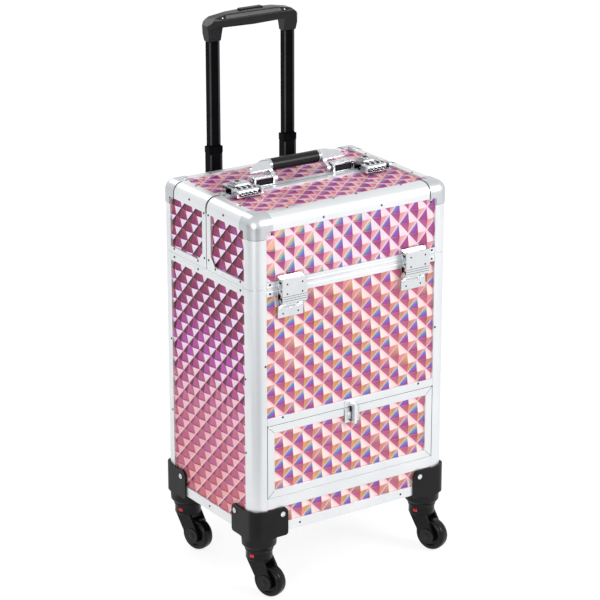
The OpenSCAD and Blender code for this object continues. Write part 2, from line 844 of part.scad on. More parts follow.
/* carrying handle on the back half */
module handle_brackets() {
  placed() color(chrome)
    both_sides()
      difference() {
        block([bail_x - bracket_half, 1.5, top_z],
          [bail_x + bracket_half, 2 * bail_y, top_z + bail_bracket_h]);
        block([bail_x - bracket_half + bail_wall, 0, top_z + 2],
          [bail_x + bracket_half - bail_wall, 2 * bail_y - 2.5, top_z + bail_bracket_h - 2.5]);
        bail_axis(bail_x - bracket_half - 12)
          cylinder(h = 2 * bracket_half + 24, r = bail_pin_r + run_gap, $fn = seg);
      }
}
module bail_axis(x) {
  translate([x, bail_y, top_z + bail_up])
    rotate([0, 90, 0])
      children();
}
module handle_bail() {
  placed() color(chrome) {
    both_sides() {
      bail_axis(bail_x_in + 0.5)
        cylinder(h = bail_x + bracket_half - 1.5 - bail_x_in - 0.5, r = bail_pin_r, $fn = seg);
      translate([bail_x_in, bail_y, top_z + bail_up])
        rotate([bail_rest, 0, 0]) {
          block([0, 0, -4], [6, bail_arm, 4]);
          rotate([0, 90, 0])
            cylinder(h = 6, r = 5, $fn = seg);
          translate([0, bail_arm, 0])
            rotate([0, 90, 0])
              cylinder(h = 6, r = 6, $fn = seg);
        }
    }
    translate([-bail_x_in - 0.5, bail_y, top_z + bail_up])
      rotate([bail_rest, 0, 0])
        translate([0, bail_arm, 0])
          rotate([0, 90, 0])
            cylinder(h = 2 * bail_x_in + 1, r = bail_bar_r, $fn = seg);
  }
}
module handle_grip() {
  half = bail_x_in - 0.5;
  placed() color(black)
    translate([0, bail_y, top_z + bail_up])
      rotate([bail_rest, 0, 0])
        translate([0, bail_arm, 0])
          rotate([90, 0, 90])
            rotate_extrude($fn = seg)
              polygon([[bail_bar_r + run_gap, -half], [bail_grip_r - 1.5, -half], [bail_grip_r, -half + 3],
                [bail_grip_r, half - 3], [bail_grip_r - 1.5, half], [bail_bar_r + run_gap, half]]);
}

/* trolley handle */
module tube_places() {
  for (s = [-1, 1])
    translate([s * tube_x, half_d + tube_out, case_z])
      children();
}
module upright(w, d, z0, z1) {
  block([-w / 2, -d / 2, z0], [w / 2, d / 2, z1]);
}
module trolley_strap() {
  placed() color(silver)
    block([-panel_w / 2 + flat_gap, half_d - wall_t, strap_z0], [panel_w / 2 - flat_gap, half_d, strap_z1]);
}
module trolley_channels() {
  w = tube_w + 2 * (slide_gap + sleeve_t + slide_gap);
  d = tube_d + 2 * (slide_gap + sleeve_t + slide_gap);
  placed() color(black)
    tube_places()
      difference() {
        union() {
          upright(w + 2 * channel_t, d + 2 * channel_t, channel_z0, channel_z1);
          block([-foot_w / 2, -tube_out, channel_z1 - 2 - strap_w], [foot_w / 2, -d / 2, channel_z1 - 2]);
          block([-foot_w / 2, -tube_out, 2], [foot_w / 2, -d / 2, 2 * channel_z0]);
          block([-foot_w / 2, -tube_out, 2], [foot_w / 2, d / 2, channel_z0 + 1]);
        }
        upright(w, d, channel_z0 + 4, channel_z1 + 1);
      }
}
module trolley_sleeves() {
  w = tube_w + 2 * slide_gap;
  d = tube_d + 2 * slide_gap;
  placed() color(black)
    tube_places()
      difference() {
        union() {
          upright(w + 2 * sleeve_t, d + 2 * sleeve_t, sleeve_top - sleeve_l, sleeve_top - 3);
          upright(w + 2 * sleeve_t + 1, d + 2 * sleeve_t + 1, sleeve_top - sleeve_lip, sleeve_top);
        }
        upright(w, d, 0, grip_z);
      }
}
module trolley_tubes() {
  placed() color(black)
    tube_places()
      difference() {
        upright(tube_w, tube_d, sleeve_top - 79, grip_z + 3);
        upright(tube_w - 5, tube_d - 5, 0, grip_z - 20);
        for (s = [-1, 1])
          block([-groove_w / 2, s * tube_d / 2 - groove_t, 0],
            [groove_w / 2, s * tube_d / 2 + groove_t, grip_z - 21]);
      }
}
// Left and right halves of an outline joined: its right half from the bottom to the top
module mirrored_outline(half) {
  polygon(concat(half, [for (k = [len(half) - 1:-1:0]) [-half[k][0], half[k][1]]]));
}
module trolley_grip() {
  w = grip_w / 2;
  d = grip_d / 2;
  g = grip_z;
  z0 = g - socket_h;
  inner = tube_x - tube_w / 2 - socket_t;
  outer = tube_x + tube_w / 2 + socket_t;
  placed() color(black)
    difference() {
      intersection() {
        translate([0, half_d + tube_out + 20, case_z])
          rotate([90, 0, 0])
            linear_extrude(height = 40)
              mirrored_outline([[1, g - 0.5], [inner - 1, g + 1], [inner, z0], [outer, z0], [w, g + 5],
                [w - 13, g + 16], [w - 39, g + 20.5], [6, g + 22]]);
        translate([-w - 5, half_d + tube_out, case_z])
          rotate([90, 0, 90])
            linear_extrude(height = 2 * w + 10)
              mirrored_outline([[tube_d / 2 + socket_t, z0 - 1], [d - 2, g - 1], [d, g + 4], [d, g + 12],
                [d - 4.5, g + 19.5], [d - 5.5, g + 23]]);
        translate([0, half_d + tube_out, case_z + z0 - 1])
          linear_extrude(height = 2 * socket_h + 10)
            mirrored_outline([[w - end_cut, -d], [w, end_cut - d], [w, d - end_cut], [w - end_cut, d]]);
      }
      tube_places()
        upright(tube_w + 2 * flat_gap, tube_d + 2 * flat_gap, 0, g + 3 + flat_gap);
      translate([0, half_d + tube_out, case_z])
        upright(button_w + 1, button_d + 1, g + 13, g + 40);
      grip_panel_recess();
    }
}
// Shallow recess along the sloping front of the grip
module grip_panel_recess() {
  translate([0, half_d + tube_out - grip_d / 2 + 2.25, case_z + grip_z + 15.75])
    rotate([-atan2(4.5, 7.5), 0, 0])
      cube([grip_w - 61, 1.2, 6.5], center = true);
}
module trolley_button() {
  placed() color(black)
    translate([0, half_d + tube_out, case_z])
      upright(button_w, button_d, grip_z + 13.3 + button_travel, grip_z + 23.8);
}

/* casters */
// Plan of the bracket's outside: case corner at the origin, legs along +X and +Y
module bracket_plan(leg) {
  r = corner_r + bracket_t;
  translate([-bracket_t, -bracket_t]) {
    translate([r, r])
      circle(r, $fn = seg);
    translate([r, 0])
      square([leg + bracket_t - r, leg + bracket_t]);
    translate([0, r])
      square([leg + bracket_t, leg + bracket_t - r]);
  }
}
// Elevation of one leg: an ear round its screw, a shallow hollow towards the corner
module ear_outline() {
  x = bracket_leg - ear_r;
  half = (x - corner_r) / 2;
  dip_r = (half * half + ear_dip * ear_dip) / (2 * ear_dip);
  difference() {
    union() {
      translate([corner_r, -bracket_low])
        square([x - corner_r, bracket_up + bracket_low]);
      translate([x, -bracket_low])
        square([ear_r - ear_foot_r, bracket_up - ear_r + bracket_low]);
      translate([x, ear_foot_r - bracket_low])
        square([ear_r, bracket_up - ear_r + bracket_low - ear_foot_r]);
      translate([x, bracket_up - ear_r])
        circle(ear_r, $fn = seg);
      translate([bracket_leg - ear_foot_r, ear_foot_r - bracket_low])
        circle(ear_foot_r, $fn = seg);
    }
    translate([corner_r + half, bracket_up + dip_r - ear_dip])
      circle(dip_r, $fn = 4 * seg);
  }
}
// Bracket in local axes: inwards +X and +Y, case underside at z 0
module bracket_at() {
  c = caster_in;
  leg = bracket_leg - ear_foot_r - 3;
  neck = [[0, -1], [neck_r + 4, -1], [neck_r + 3, -bracket_low], [neck_r + 0.8, -bracket_low - 1],
    [neck_r, -bracket_low - 3], [neck_r - 0.5, -neck_drop], [neck_r - 2, -neck_drop - 2],
    [collar_r, -neck_drop - 5], [collar_r, 1 - neck_drop - collar_h], [0, 1 - neck_drop - collar_h]];
  difference() {
    union() {
      difference() {
        union() {
          rotate([90, 0, 0])
            linear_extrude(height = bracket_t)
              ear_outline();
          mirror([1, -1, 0])
            rotate([90, 0, 0])
              linear_extrude(height = bracket_t)
                ear_outline();
          translate([0, 0, -bracket_low])
            linear_extrude(height = bracket_up + bracket_low)
              intersection() {
                bracket_plan(bracket_leg);
                translate([-bracket_t, -bracket_t])
                  square(corner_r + bracket_t);
              }
          translate([0, 0, -bracket_low])
            linear_extrude(height = bracket_low)
              intersection() {
                bracket_plan(leg);
                polygon([[-bracket_t, -bracket_t], [leg, -bracket_t], [leg, 5], [5, leg], [-bracket_t, leg]]);
              }
        }
        translate([0, 0, flat_gap])
          corner_post_form(bracket_leg + 20, 0);
      }
      intersection() {
        translate([c, c, 0])
          rotate_extrude($fn = seg)
            polygon(neck);
        translate([0, 0, -neck_drop - 20])
          linear_extrude(height = neck_drop + 30)
            bracket_plan(bracket_leg);
      }
    }
    translate([c, c, -30])
      cylinder(h = 22, r = stem_r + run_gap, $fn = seg);
  }
}
module caster_brackets() {
  placed() color(black)
    translate([0, 0, case_z])
      four_corners()
        translate([-half_w, -half_d, -flat_gap])
          bracket_at();
}
module bracket_screws() {
  placed() color(chrome)
    four_corners()
      translate([-half_w, -half_d, case_z + bracket_up - ear_r]) {
        translate([bracket_leg - ear_r, -bracket_t, 0])
          rotate([90, 0, 0])
            screw_head();
        translate([-bracket_t, bracket_leg - ear_r, 0])
          rotate([0, -90, 0])
            screw_head();
      }
}
module screw_head() {
  difference() {
    cylinder(h = 1.8, r = 4, $fn = seg);
    for (a = [0, 90])
      rotate([0, 0, a])
        translate([0, 0, 1.8])
          cube([5, 1, 1.6], center = true);
  }
}
// Point where a line from p touches the circle of radius r round c, on one side
function touch(p, c, r, side) =
  let (d = p - c, a = atan2(d[1], d[0]) + side * acos(r / norm(d))) c + r * [cos(a), sin(a)];
// Fork with its stem and riveted axle, swivel axis on Z, trailing along -Y
module fork() {
  in = wheel_w / 2 + 1;
  hz = caster_h - neck_drop - collar_h + 0.5;
  top = hz - housing_h + 3;
  axle = [-trail, wheel_r];
  front = [-in - 5, top];
  back = [in + 5, top];
  translate([0, 0, hz - housing_h])
    rotate_extrude($fn = seg)
      polygon([[0, 0], [housing_r - 1.5, 0], [housing_r, 1.5], [housing_r, housing_h], [0, housing_h]]);
  translate([0, 0, hz - 1])
    cylinder(h = 17, r = stem_r, $fn = seg);
  for (s = [-1, 1])
    translate([s > 0 ? in : -in - fork_t, 0, 0])
      rotate([90, 0, 90])
        linear_extrude(height = fork_t) {
          polygon([back, touch(back, axle, hub_r, -1), touch(front, axle, hub_r, 1), front]);
          translate(axle)
            circle(hub_r, $fn = seg);
        }
  translate([-in - fork_t - 0.8, -trail, wheel_r])
    rotate([0, 90, 0])
      cylinder(h = 2 * (in + fork_t + 0.8), r = axle_r, $fn = seg);
}
module wheel() {
  hw = wheel_w / 2;
  translate([0, -trail, wheel_r])
    rotate([0, 90, 0])
      rotate_extrude($fn = 72)
        polygon(concat([[axle_r + run_gap, -hw], [8, -hw], [9, -hw + 2], [16, -hw + 2], [17, -hw]],
          [for (q = wheel_sec) [q[0], -q[1]]], [for (k = [2:-1:0]) wheel_sec[k]],
          [[17, hw], [16, hw - 2], [9, hw - 2], [8, hw], [axle_r + run_gap, hw]]));
}
module caster_at(sx, sy, head) {
  translate([sx * (half_w - caster_in), sy * (half_d - caster_in), 0])
    rotate([0, 0, head])
      children();
}
module front_left_fork() { placed() color(black) caster_at(-1, -1, head_fl) fork(); }
module front_right_fork() { placed() color(black) caster_at(1, -1, head_fr) fork(); }
module back_left_fork() { placed() color(black) caster_at(-1, 1, head_rl) fork(); }
module back_right_fork() { placed() color(black) caster_at(1, 1, head_rr) fork(); }
module front_left_wheel() { placed() color(black) caster_at(-1, -1, head_fl) wheel(); }
module front_right_wheel() { placed() color(black) caster_at(1, -1, head_fr) wheel(); }
module back_left_wheel() { placed() color(black) caster_at(-1, 1, head_rl) wheel(); }
module back_right_wheel() { placed() color(black) caster_at(1, 1, head_rr) wheel(); }

base_board();
front_board();
side_boards();
back_board();
front_skin();
side_skins();
back_skin();
corner_posts();
rim_rail();
bottom_rail();
drawer_surround();
drawer_shelf();
shelf_battens();
drawer_runners();
drawer_box();
drawer_frame();
drawer_skin();
catch_keeper();
catch_base();
catch_fin();
front_lid_shell();
front_lid_skin();
front_lid_rails();
front_lid_caps();
front_hinge_leaves();
lower_hinge_leaves();
hinge_pins();
front_lower_tray();
front_upper_tray();
front_tray_arms();
back_lid_shell();
back_lid_skin();
back_lid_rails();
back_lid_caps();
back_hinge_leaves();
back_trays();
back_tray_arms();
lock_bases();
left_lock_lever();
right_lock_lever();
lock_strikes();
handle_brackets();
handle_bail();
handle_grip();
trolley_strap();
trolley_channels();
trolley_sleeves();
trolley_tubes();
trolley_grip();
trolley_button();
caster_brackets();
bracket_screws();
front_left_fork();
front_right_fork();
back_left_fork();
back_right_fork();
front_left_wheel();
front_right_wheel();
back_left_wheel();
back_right_wheel();
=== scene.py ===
import math
import random

import bmesh
import bpy
from mathutils import Matrix, Vector


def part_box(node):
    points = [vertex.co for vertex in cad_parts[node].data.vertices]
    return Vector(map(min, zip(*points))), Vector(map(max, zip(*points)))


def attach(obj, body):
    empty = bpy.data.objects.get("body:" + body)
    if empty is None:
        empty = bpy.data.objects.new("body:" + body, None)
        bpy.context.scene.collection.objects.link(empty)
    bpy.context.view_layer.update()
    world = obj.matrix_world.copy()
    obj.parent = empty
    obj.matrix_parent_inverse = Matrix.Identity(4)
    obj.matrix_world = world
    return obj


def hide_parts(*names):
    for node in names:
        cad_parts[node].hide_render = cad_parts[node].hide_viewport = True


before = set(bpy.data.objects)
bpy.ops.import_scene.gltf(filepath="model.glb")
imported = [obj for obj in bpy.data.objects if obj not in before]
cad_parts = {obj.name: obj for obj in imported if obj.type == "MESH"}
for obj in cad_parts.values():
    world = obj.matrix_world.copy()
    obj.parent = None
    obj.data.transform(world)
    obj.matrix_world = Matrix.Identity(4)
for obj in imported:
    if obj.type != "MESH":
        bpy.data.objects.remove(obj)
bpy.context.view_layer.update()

# Sizes in millimetres, the same as the solids'. They count from the middle of the case's width and
# depth, with the front at -Y. SHIFT moves them to the frame.
post_low, post_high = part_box("corner_posts")
SHIFT = (post_low.y + post_high.y) / 2 * 1000
HALF_W, HALF_D = 172.5, 124.0
CASE_Z, SEAM_Z, LID_Z, TOP_Z = 100.0, 483.0, 483.3, 592.0
FACE, WALL, FOOT_H, RIM_H, LID_RAIL_H = 23.5, 4.5, 15.0, 12.0, 9.0
PANEL_W, PANEL_D = 2 * (HALF_W - FACE), 2 * (HALF_D - FACE)
PANEL_LOW, PANEL_HIGH = CASE_Z + FOOT_H, SEAM_Z - RIM_H
LID_PANEL_LOW, LID_PANEL_HIGH = LID_Z + LID_RAIL_H, TOP_Z - FACE
SEAM_STRIP_Y = (0.6, 11.6)
SHEET_T, GEM_H = 0.6, 2.8
DRAWER_W, DRAWER_LOW, DRAWER_HIGH, DRAWER_FRAME = 297.0, 157.5, 271.5, 12.0
SURROUND_LOW, SURROUND_HIGH = 140.0, 284.0
STRAP_LOW, STRAP_HIGH = 368.0, 398.0
HINGE_X, LOCK_X, TUBE_X, GRIP_Y = 109.0, 114.0, 66.7, 147.0
BAIL_Y, BAIL_Z, BAIL_ARM, BAIL_REST = 10.0, 599.0, 26.0, 32
CASTER_IN, WHEEL_R, TRAIL = 23.0, 25.0, 20.0
SIDES = (-1, 1)
HINGES = (-HINGE_X, HINGE_X)
HINGE_RIVETS = [x + dx for x in HINGES for dx in (-13, 13)]
X, Y, Z = Vector((1, 0, 0)), Vector((0, 1, 0)), Vector((0, 0, 1))


def rot(axis, degrees):
    return Matrix.Rotation(math.radians(degrees), 4, axis)


def move(x, y, z):
    return Matrix.Translation((x, y, z))


def flip(x, y):
    """Mirrors x or y where its sign is -1."""
    return Matrix.Diagonal((x, y, 1, 1))


def basis(a, b, c):
    """Turns local X, Y and Z to the directions a, b and c."""
    return Matrix((a, b, c)).transposed().to_4x4()


# Materials
class Look:
    """A short way to build one material's node tree."""

    def __init__(self, name):
        self.material = bpy.data.materials.new(name)
        self.material.use_nodes = True
        self.tree = self.material.node_tree
        self.shader = self.tree.nodes["Principled BSDF"]
        self.coord = self.node("TexCoord").outputs["Object"]

    def plug(self, socket, value):
        """Links a socket, or sets a number or a colour on it."""
        if hasattr(value, "is_linked"):
            self.tree.links.new(value, socket)
        elif isinstance(value, tuple) and socket.type == "RGBA":
            socket.default_value = (*value, 1)
        else:
            socket.default_value = value

    def node(self, kind, inputs=None, **props):
        made = self.tree.nodes.new("ShaderNode" + kind)
        for key, value in props.items():
            setattr(made, key, value)
        for key, value in (inputs or {}).items():
            self.plug(made.inputs[key], value)
        return made

    def set(self, **values):
        for key, value in values.items():
            self.plug(self.shader.inputs[key.replace("_", " ")], value)

    def scaled(self, x, y, z):
        return self.node("Mapping", {"Vector": self.coord, "Scale": (x, y, z)}).outputs[0]

    def noise(self, scale, detail=2.0, vector=None, rough=0.5):
        return self.node("TexNoise", {"Vector": vector or self.coord, "Scale": scale,
                                      "Detail": detail, "Roughness": rough}).outputs["Fac"]

    def math(self, op, *values, clamp=False):
        return self.node("Math", dict(enumerate(values)), operation=op, use_clamp=clamp).outputs[0]

    def span(self, value, a, b, c, d):
        """Takes the range a to b onto c to d."""
        return self.node("MapRange", {"Value": value, "From Min": a, "From Max": b,
                                      "To Min": c, "To Max": d}).outputs[0]

    def ramp(self, value, stops):
        made = self.node("ValToRGB", {"Fac": value})
        elements = made.color_ramp.elements
        while len(elements) < len(stops):
            elements.new(0.5)
        for element, (place, colour) in zip(elements, stops):
            element.position = place
            element.color = (*colour, 1)
        return made.outputs["Color"]

    def mix(self, fac, a, b, mode="MIX"):
        return self.node("Mix", {0: fac, 6: a, 7: b}, data_type="RGBA", blend_type=mode).outputs[2]

    def bump(self, height, strength, distance):
        made = self.node("Bump", {"Height": height, "Strength": strength, "Distance": distance})
        self.set(Normal=made.outputs[0])


def linear(colour):
    """sRGB 0-255 to scene linear."""
    def one(v):
        v /= 255
        return v / 12.92 if v <= 0.04045 else ((v + 0.055) / 1.055) ** 2.4
    return tuple(one(v) for v in colour)


def aluminium(name, stretch, metal=0.66):
    """Satin anodised trim: lines along the extrusion and faint cloudiness."""
    look = Look(name)
    lines = look.noise(1.0, 3.0, look.scaled(*stretch))
    cloud = look.noise(14.0, 3.0)
    tone = look.math("MULTIPLY_ADD", lines, 0.35, look.math("MULTIPLY", cloud, 0.65))
    look.set(Base_Color=look.ramp(tone, [(0.3, (0.74, 0.76, 0.775)), (0.7, (0.83, 0.845, 0.855))]),
             Metallic=metal, Roughness=look.span(tone, 0.3, 0.7, 0.4, 0.32))
    look.bump(lines, 0.12, 0.0002)
    return look.material


def chrome(name, tint, rough):
    """Plated steel with faint smudges."""
    look = Look(name)
    smudge = look.noise(60.0, 4.0)
    look.set(Base_Color=look.ramp(smudge, [(0.3, tuple(c * 0.93 for c in tint)), (0.7, tint)]),
             Metallic=1.0, Roughness=look.span(smudge, 0.35, 0.75, rough, rough + 0.09))
    look.bump(look.noise(900.0, 1.0), 0.03, 0.0002)
    return look.material


def plastic(name, dark, pale, rough, grain, depth, shine=0.5, gloss=0.0):
    """Moulded plastic: fine spark-eroded grain, slight tone drift."""
    look = Look(name)
    fine = look.noise(grain)
    drift = look.noise(22.0, 3.0)
    look.set(Base_Color=look.ramp(drift, [(0.3, dark), (0.7, pale)]),
             Roughness=look.span(fine, 0.3, 0.7, rough - 0.05, rough + 0.07), Coat_Weight=gloss,
             Specular_IOR_Level=shine)
    look.bump(fine, 0.35, depth)
    return look.material


def board():
    """Black lining paper on fibreboard."""
    look = Look("board_lining")
    fibre = look.noise(1.0, 4.0, look.scaled(900, 900, 260), 0.7)
    cloud = look.noise(9.0, 3.0)
    threads = look.ramp(fibre, [(0.35, (0.012, 0.012, 0.013)), (0.7, (0.05, 0.048, 0.05))])
    patches = look.ramp(cloud, [(0.3, (0.02, 0.02, 0.021)), (0.7, (0.035, 0.034, 0.036))])
    look.set(Base_Color=look.mix(0.5, threads, patches), Roughness=0.82)
    look.bump(fibre, 0.5, 0.0003)
    return look.material


# Embossed film: each facet direction of the pyramids is a material. Its colour is the foil's own pink
# with painted light in it: painted iridescent reflections and painted light and shade that differ by
# facet direction. Places on a facet are its distances from the upright ridge (across) and from the
# level ridge (up), in cells. The numbers say at which corner of its cell the facet's peak stands: 1 for
# right, and 1 for top.
FACETS = {"ne": (0, 0), "sw": (1, 1), "se": (0, 1), "nw": (1, 0)}


def film(name, facet, stops, spots=(), shine=0.35, **weights):
    """stops: (place, sRGB colour) along a sum of weighted places. spots: (colour, weights) laid on it, as
    painted iridescent patches and as painted shadow lines along the ridges.
    """
    look = Look("film_" + name)
    cell = look.node("SeparateXYZ", {0: look.node("Attribute", attribute_name="cell").outputs["Vector"]})
    point = look.node("SeparateXYZ", {0: look.coord})
    u, v = cell.outputs[0], cell.outputs[1]
    places = {"x": point.outputs[0], "z": point.outputs[2], "cell": cell.outputs[2],
              "drift": look.noise(7.0)}
    if facet == "falling":
        places["off"] = look.math("ADD", look.math("ADD", u, v), -1.0)
    elif facet == "rising":
        places["off"] = look.math("SUBTRACT", u, v)
    else:
        right, top = FACETS[facet]
        places["across"] = look.math("SUBTRACT", 1.0, u) if right else u
        places["up"] = look.math("SUBTRACT", 1.0, v) if top else v

    def total(weights, clamp=False):
        result = weights.get("one", 0.0)
        for key, weight in weights.items():
            if key != "one":
                result = look.math("MULTIPLY_ADD", places[key], weight, result)
        return look.math("ADD", result, 0.0, clamp=clamp)

    colour = look.ramp(total(weights), [(place, linear(rgb)) for place, *rgb in stops])
    for spot, spot_weights in spots:
        colour = look.mix(total(spot_weights, True), colour, linear(spot))
    lines = look.node("TexWave", {"Vector": look.coord, "Scale": 260.0, "Distortion": 2.5},
                      wave_type="BANDS", bands_direction="DIAGONAL").outputs["Fac"]
    grain = look.math("MULTIPLY", look.noise(120.0), 0.55)
    dim = look.span(look.math("MULTIPLY_ADD", lines, 0.45, grain), 0.1, 0.9, 0.84, 1.04)
    grey = look.node("CombineColor", {0: dim, 1: dim, 2: dim}).outputs[0]
    look.set(Base_Color=look.mix(1.0, colour, grey, "MULTIPLY"), Metallic=0.08,
             Roughness=look.span(lines, 0, 1, 0.3, 0.4), Coat_Weight=shine / 3,
             Coat_Roughness=0.15, Specular_IOR_Level=shine)
    look.bump(lines, 0.06, 0.0001)
    return look.material


RAINBOW = [(0.0, 240, 178, 150), (0.13, 196, 184, 132), (0.27, 116, 172, 172), (0.42, 96, 122, 204),
           (0.58, 136, 88, 186), (0.76, 168, 66, 148), (1.0, 172, 74, 116)]
SQUARES = [(0.0, 214, 122, 128), (0.2, 202, 108, 142), (0.47, 212, 126, 158), (0.55, 192, 92, 148),
           (0.66, 194, 94, 184), (0.77, 180, 82, 150), (0.86, 152, 70, 116), (1.0, 158, 72, 112)]


def by_height(start, **more):
    """Weights for a place that goes up by 1 from the foot to the top of the side panels."""
    low, high = PANEL_LOW / 1000, PANEL_HIGH / 1000
    per_metre = 1 / (high - low)
    return dict(one=start - low * per_metre, z=per_metre, **more)


# The films of each kind of panel, in the order of gem_sheet's facets. Each facet's colour is painted
# reflection and painted light and shade over the foil's pink, so the four facet directions of one panel
# differ in tone. The flat valley strips, last in each list, are painted pale as highlight, and some are
# painted dark along one side as shade. Spots that run along a ridge (a large negative up or across
# weight) are painted shadow lines, and the dark spot on the side's shaded facet deepens its painted shade.
FRONT_FILM = [
    film("pale", "ne", [(0.1, 250, 202, 190), (0.4, 255, 234, 224), (0.8, 255, 222, 222)], one=0.1,
         across=0.5, up=0.1, cell=0.25, drift=0.3),
    film("plum", "sw", [(0.1, 158, 60, 96), (0.4, 190, 90, 126), (0.9, 208, 116, 146)], one=-0.05,
         up=0.6, across=0.3, cell=0.25, drift=0.3),
    film("salmon", "se",
         [(0.05, 240, 156, 120), (0.3, 214, 164, 78), (0.5, 206, 142, 116), (0.9, 236, 146, 146)],
         one=-0.34, across=0.8, up=-0.25, cell=0.5, drift=0.6, x=0.9, z=0.6),
    film("rainbow", "nw", RAINBOW,
         spots=[((146, 50, 104), dict(one=0.8, up=-8.0)),
                ((224, 176, 96), dict(one=-1.9, cell=1.3, drift=1.6, up=0.9))],
         one=0.6, cell=0.4, drift=0.7, up=-1.1, across=-0.6, x=0.3),
    film("line", "falling", [(0.2, 250, 194, 202), (0.8, 255, 214, 214)], one=0.2, cell=0.4, drift=0.3,
         x=0.6),
    film("thin_line", "rising",
         [(0.1, 226, 164, 148), (0.42, 246, 208, 200), (0.6, 244, 204, 210), (0.95, 150, 92, 160)],
         one=0.5, off=5.0)]
LID_FILM = [
    film("lid_pale", "ne", [(0.1, 246, 190, 182), (0.4, 255, 226, 230), (0.9, 252, 226, 238)],
         one=0.1, across=0.6, cell=0.25, drift=0.4),
    film("lid_plum", "sw", [(0.1, 156, 54, 112), (0.5, 178, 84, 140), (0.9, 196, 112, 150)],
         one=-0.05, up=0.6, across=0.3, cell=0.25, drift=0.3),
    film("lid_salmon", "se", [(0.1, 222, 136, 150), (0.5, 236, 166, 166), (0.9, 244, 190, 204)],
         one=-0.1, across=0.6, up=0.3, cell=0.3, drift=0.4),
    film("lid_rainbow", "nw", RAINBOW, spots=[((150, 50, 120), dict(one=0.9, up=-7.0))], one=1.36,
         across=-0.75, up=-0.75, cell=0.3, drift=0.5, x=2.3, z=-1.6),
    film("lid_line", "falling", [(0.2, 250, 204, 222), (0.8, 255, 226, 236)], one=0.2, cell=0.4, drift=0.3),
    film("lid_thin_line", "rising",
         [(0.1, 240, 190, 184), (0.45, 252, 222, 228), (0.6, 250, 214, 220), (0.95, 206, 160, 160)],
         one=0.5, off=5.0)]
SIDE_FILM = [
    film("side_upper", "ne", SQUARES,
         spots=[((96, 30, 84), dict(one=0.8, up=-5.0)),
                ((186, 116, 196), dict(one=-1.3, cell=0.7, drift=1.2, across=0.9))],
         shine=0.15, **by_height(-0.16, cell=0.08, drift=0.24)),
    film("side_lower", "sw", SQUARES,
         spots=[((176, 62, 70), dict(one=-0.9, up=1.2, z=2.2, drift=0.9)),
                ((228, 134, 100), dict(one=-0.75, cell=0.9, drift=1.2, z=-1.7))],
         shine=0.15, **by_height(-0.12, cell=0.08, drift=0.24)),
    film("side_pale_painted_lit", "se",
         [(0.0, 248, 176, 174), (0.3, 250, 188, 194), (0.47, 250, 206, 218), (0.62, 248, 226, 246),
          (0.9, 246, 230, 252)], **by_height(-0.15, cell=0.1, drift=0.2)),
    film("side_plum_painted_shade", "nw",
         [(0.0, 190, 106, 124), (0.3, 188, 98, 132), (0.47, 160, 70, 112), (0.6, 110, 28, 72),
          (0.72, 96, 14, 54), (1.0, 106, 22, 44)],
         spots=[((84, 16, 52), dict(one=-0.6, across=1.9, up=0.9))], shine=0.12,
         **by_height(-0.1, cell=0.1, drift=0.2)),
    film("side_square_line", "falling", SQUARES, shine=0.15, **by_height(-0.14, cell=0.08, drift=0.24)),
    film("side_line", "rising", [(0.2, 255, 208, 212), (0.6, 250, 194, 206), (0.82, 74, 18, 48)],
         shine=0.12, **by_height(-0.1, off=4.0, drift=0.2))]
TOP_FILM = [
    film("top_pale", "ne", [(0.1, 244, 168, 150), (0.5, 255, 222, 214), (0.9, 236, 176, 206)],
         spots=[((196, 116, 190), dict(one=0.8, across=-6.0))], one=0.2, across=0.3, up=0.3, cell=0.2,
         drift=0.3),
    film("top_plum", "sw",
         [(0.0, 112, 30, 132), (0.36, 160, 52, 146), (0.52, 206, 84, 134), (0.64, 255, 222, 222),
          (0.72, 222, 92, 108), (1.0, 244, 150, 120)],
         one=-0.2, across=0.4, up=0.7, cell=0.25, drift=0.4),
    film("top_orange", "se",
         [(0.1, 242, 132, 96), (0.36, 255, 208, 196), (0.5, 226, 106, 130), (0.9, 196, 78, 150)],
         spots=[((150, 60, 160), dict(one=0.7, up=-6.0))], one=-0.1, across=0.6, cell=0.3, drift=0.5),
    film("top_violet", "nw",
         [(0.1, 120, 62, 160), (0.4, 160, 70, 170), (0.7, 200, 110, 160), (0.95, 236, 160, 160)], one=-0.1,
         across=0.5, up=0.3, cell=0.3, drift=0.4),
    film("top_falling_line", "falling", [(0.2, 255, 224, 220), (0.8, 255, 236, 240)], one=0.2,
         cell=0.4, drift=0.3),
    film("top_line", "rising", [(0.2, 248, 184, 192), (0.8, 252, 202, 206)], one=0.2, cell=0.4, drift=0.3)]
ALU_X = aluminium("aluminium_along_x", (6, 900, 900))
ALU_Y = aluminium("aluminium_along_y", (900, 6, 900))
ALU_STRIP = aluminium("aluminium_seam_strip", (6, 900, 900), 0.2)
ALU_Z = aluminium("aluminium_along_z", (900, 900, 6))
CHROME = chrome("chrome_bright", (0.68, 0.7, 0.72), 0.1)
CAP = chrome("chrome_satin", (0.6, 0.62, 0.635), 0.34)
LOCK = chrome("chrome_lock", (0.5, 0.51, 0.53), 0.1)
STEEL = chrome("steel_fasteners", (0.62, 0.63, 0.65), 0.22)
DARK_NAIL = chrome("nail_heads", (0.05, 0.05, 0.055), 0.35)
GAP = plastic("shadow_gap", (0.01, 0.01, 0.011), (0.016, 0.016, 0.017), 0.6, 900.0, 0.0001, 0.2)
BLACK = plastic("black_moulded", (0.005, 0.005, 0.006), (0.01, 0.01, 0.011), 0.4, 1400.0, 0.00015, 0.17)
TRAY = plastic("tray_moulded", (0.012, 0.012, 0.013), (0.022, 0.022, 0.023), 0.5, 900.0, 0.0002)
TUBE = plastic("tube_black", (0.002, 0.002, 0.003), (0.004, 0.004, 0.005), 0.35, 500.0, 0.00004, 0.02)
TUBE_SHEEN_GREY = plastic("tube_flank_painted_sheen", (0.03, 0.03, 0.031), (0.05, 0.05, 0.052), 0.36, 700.0, 0.00006, 0.2)
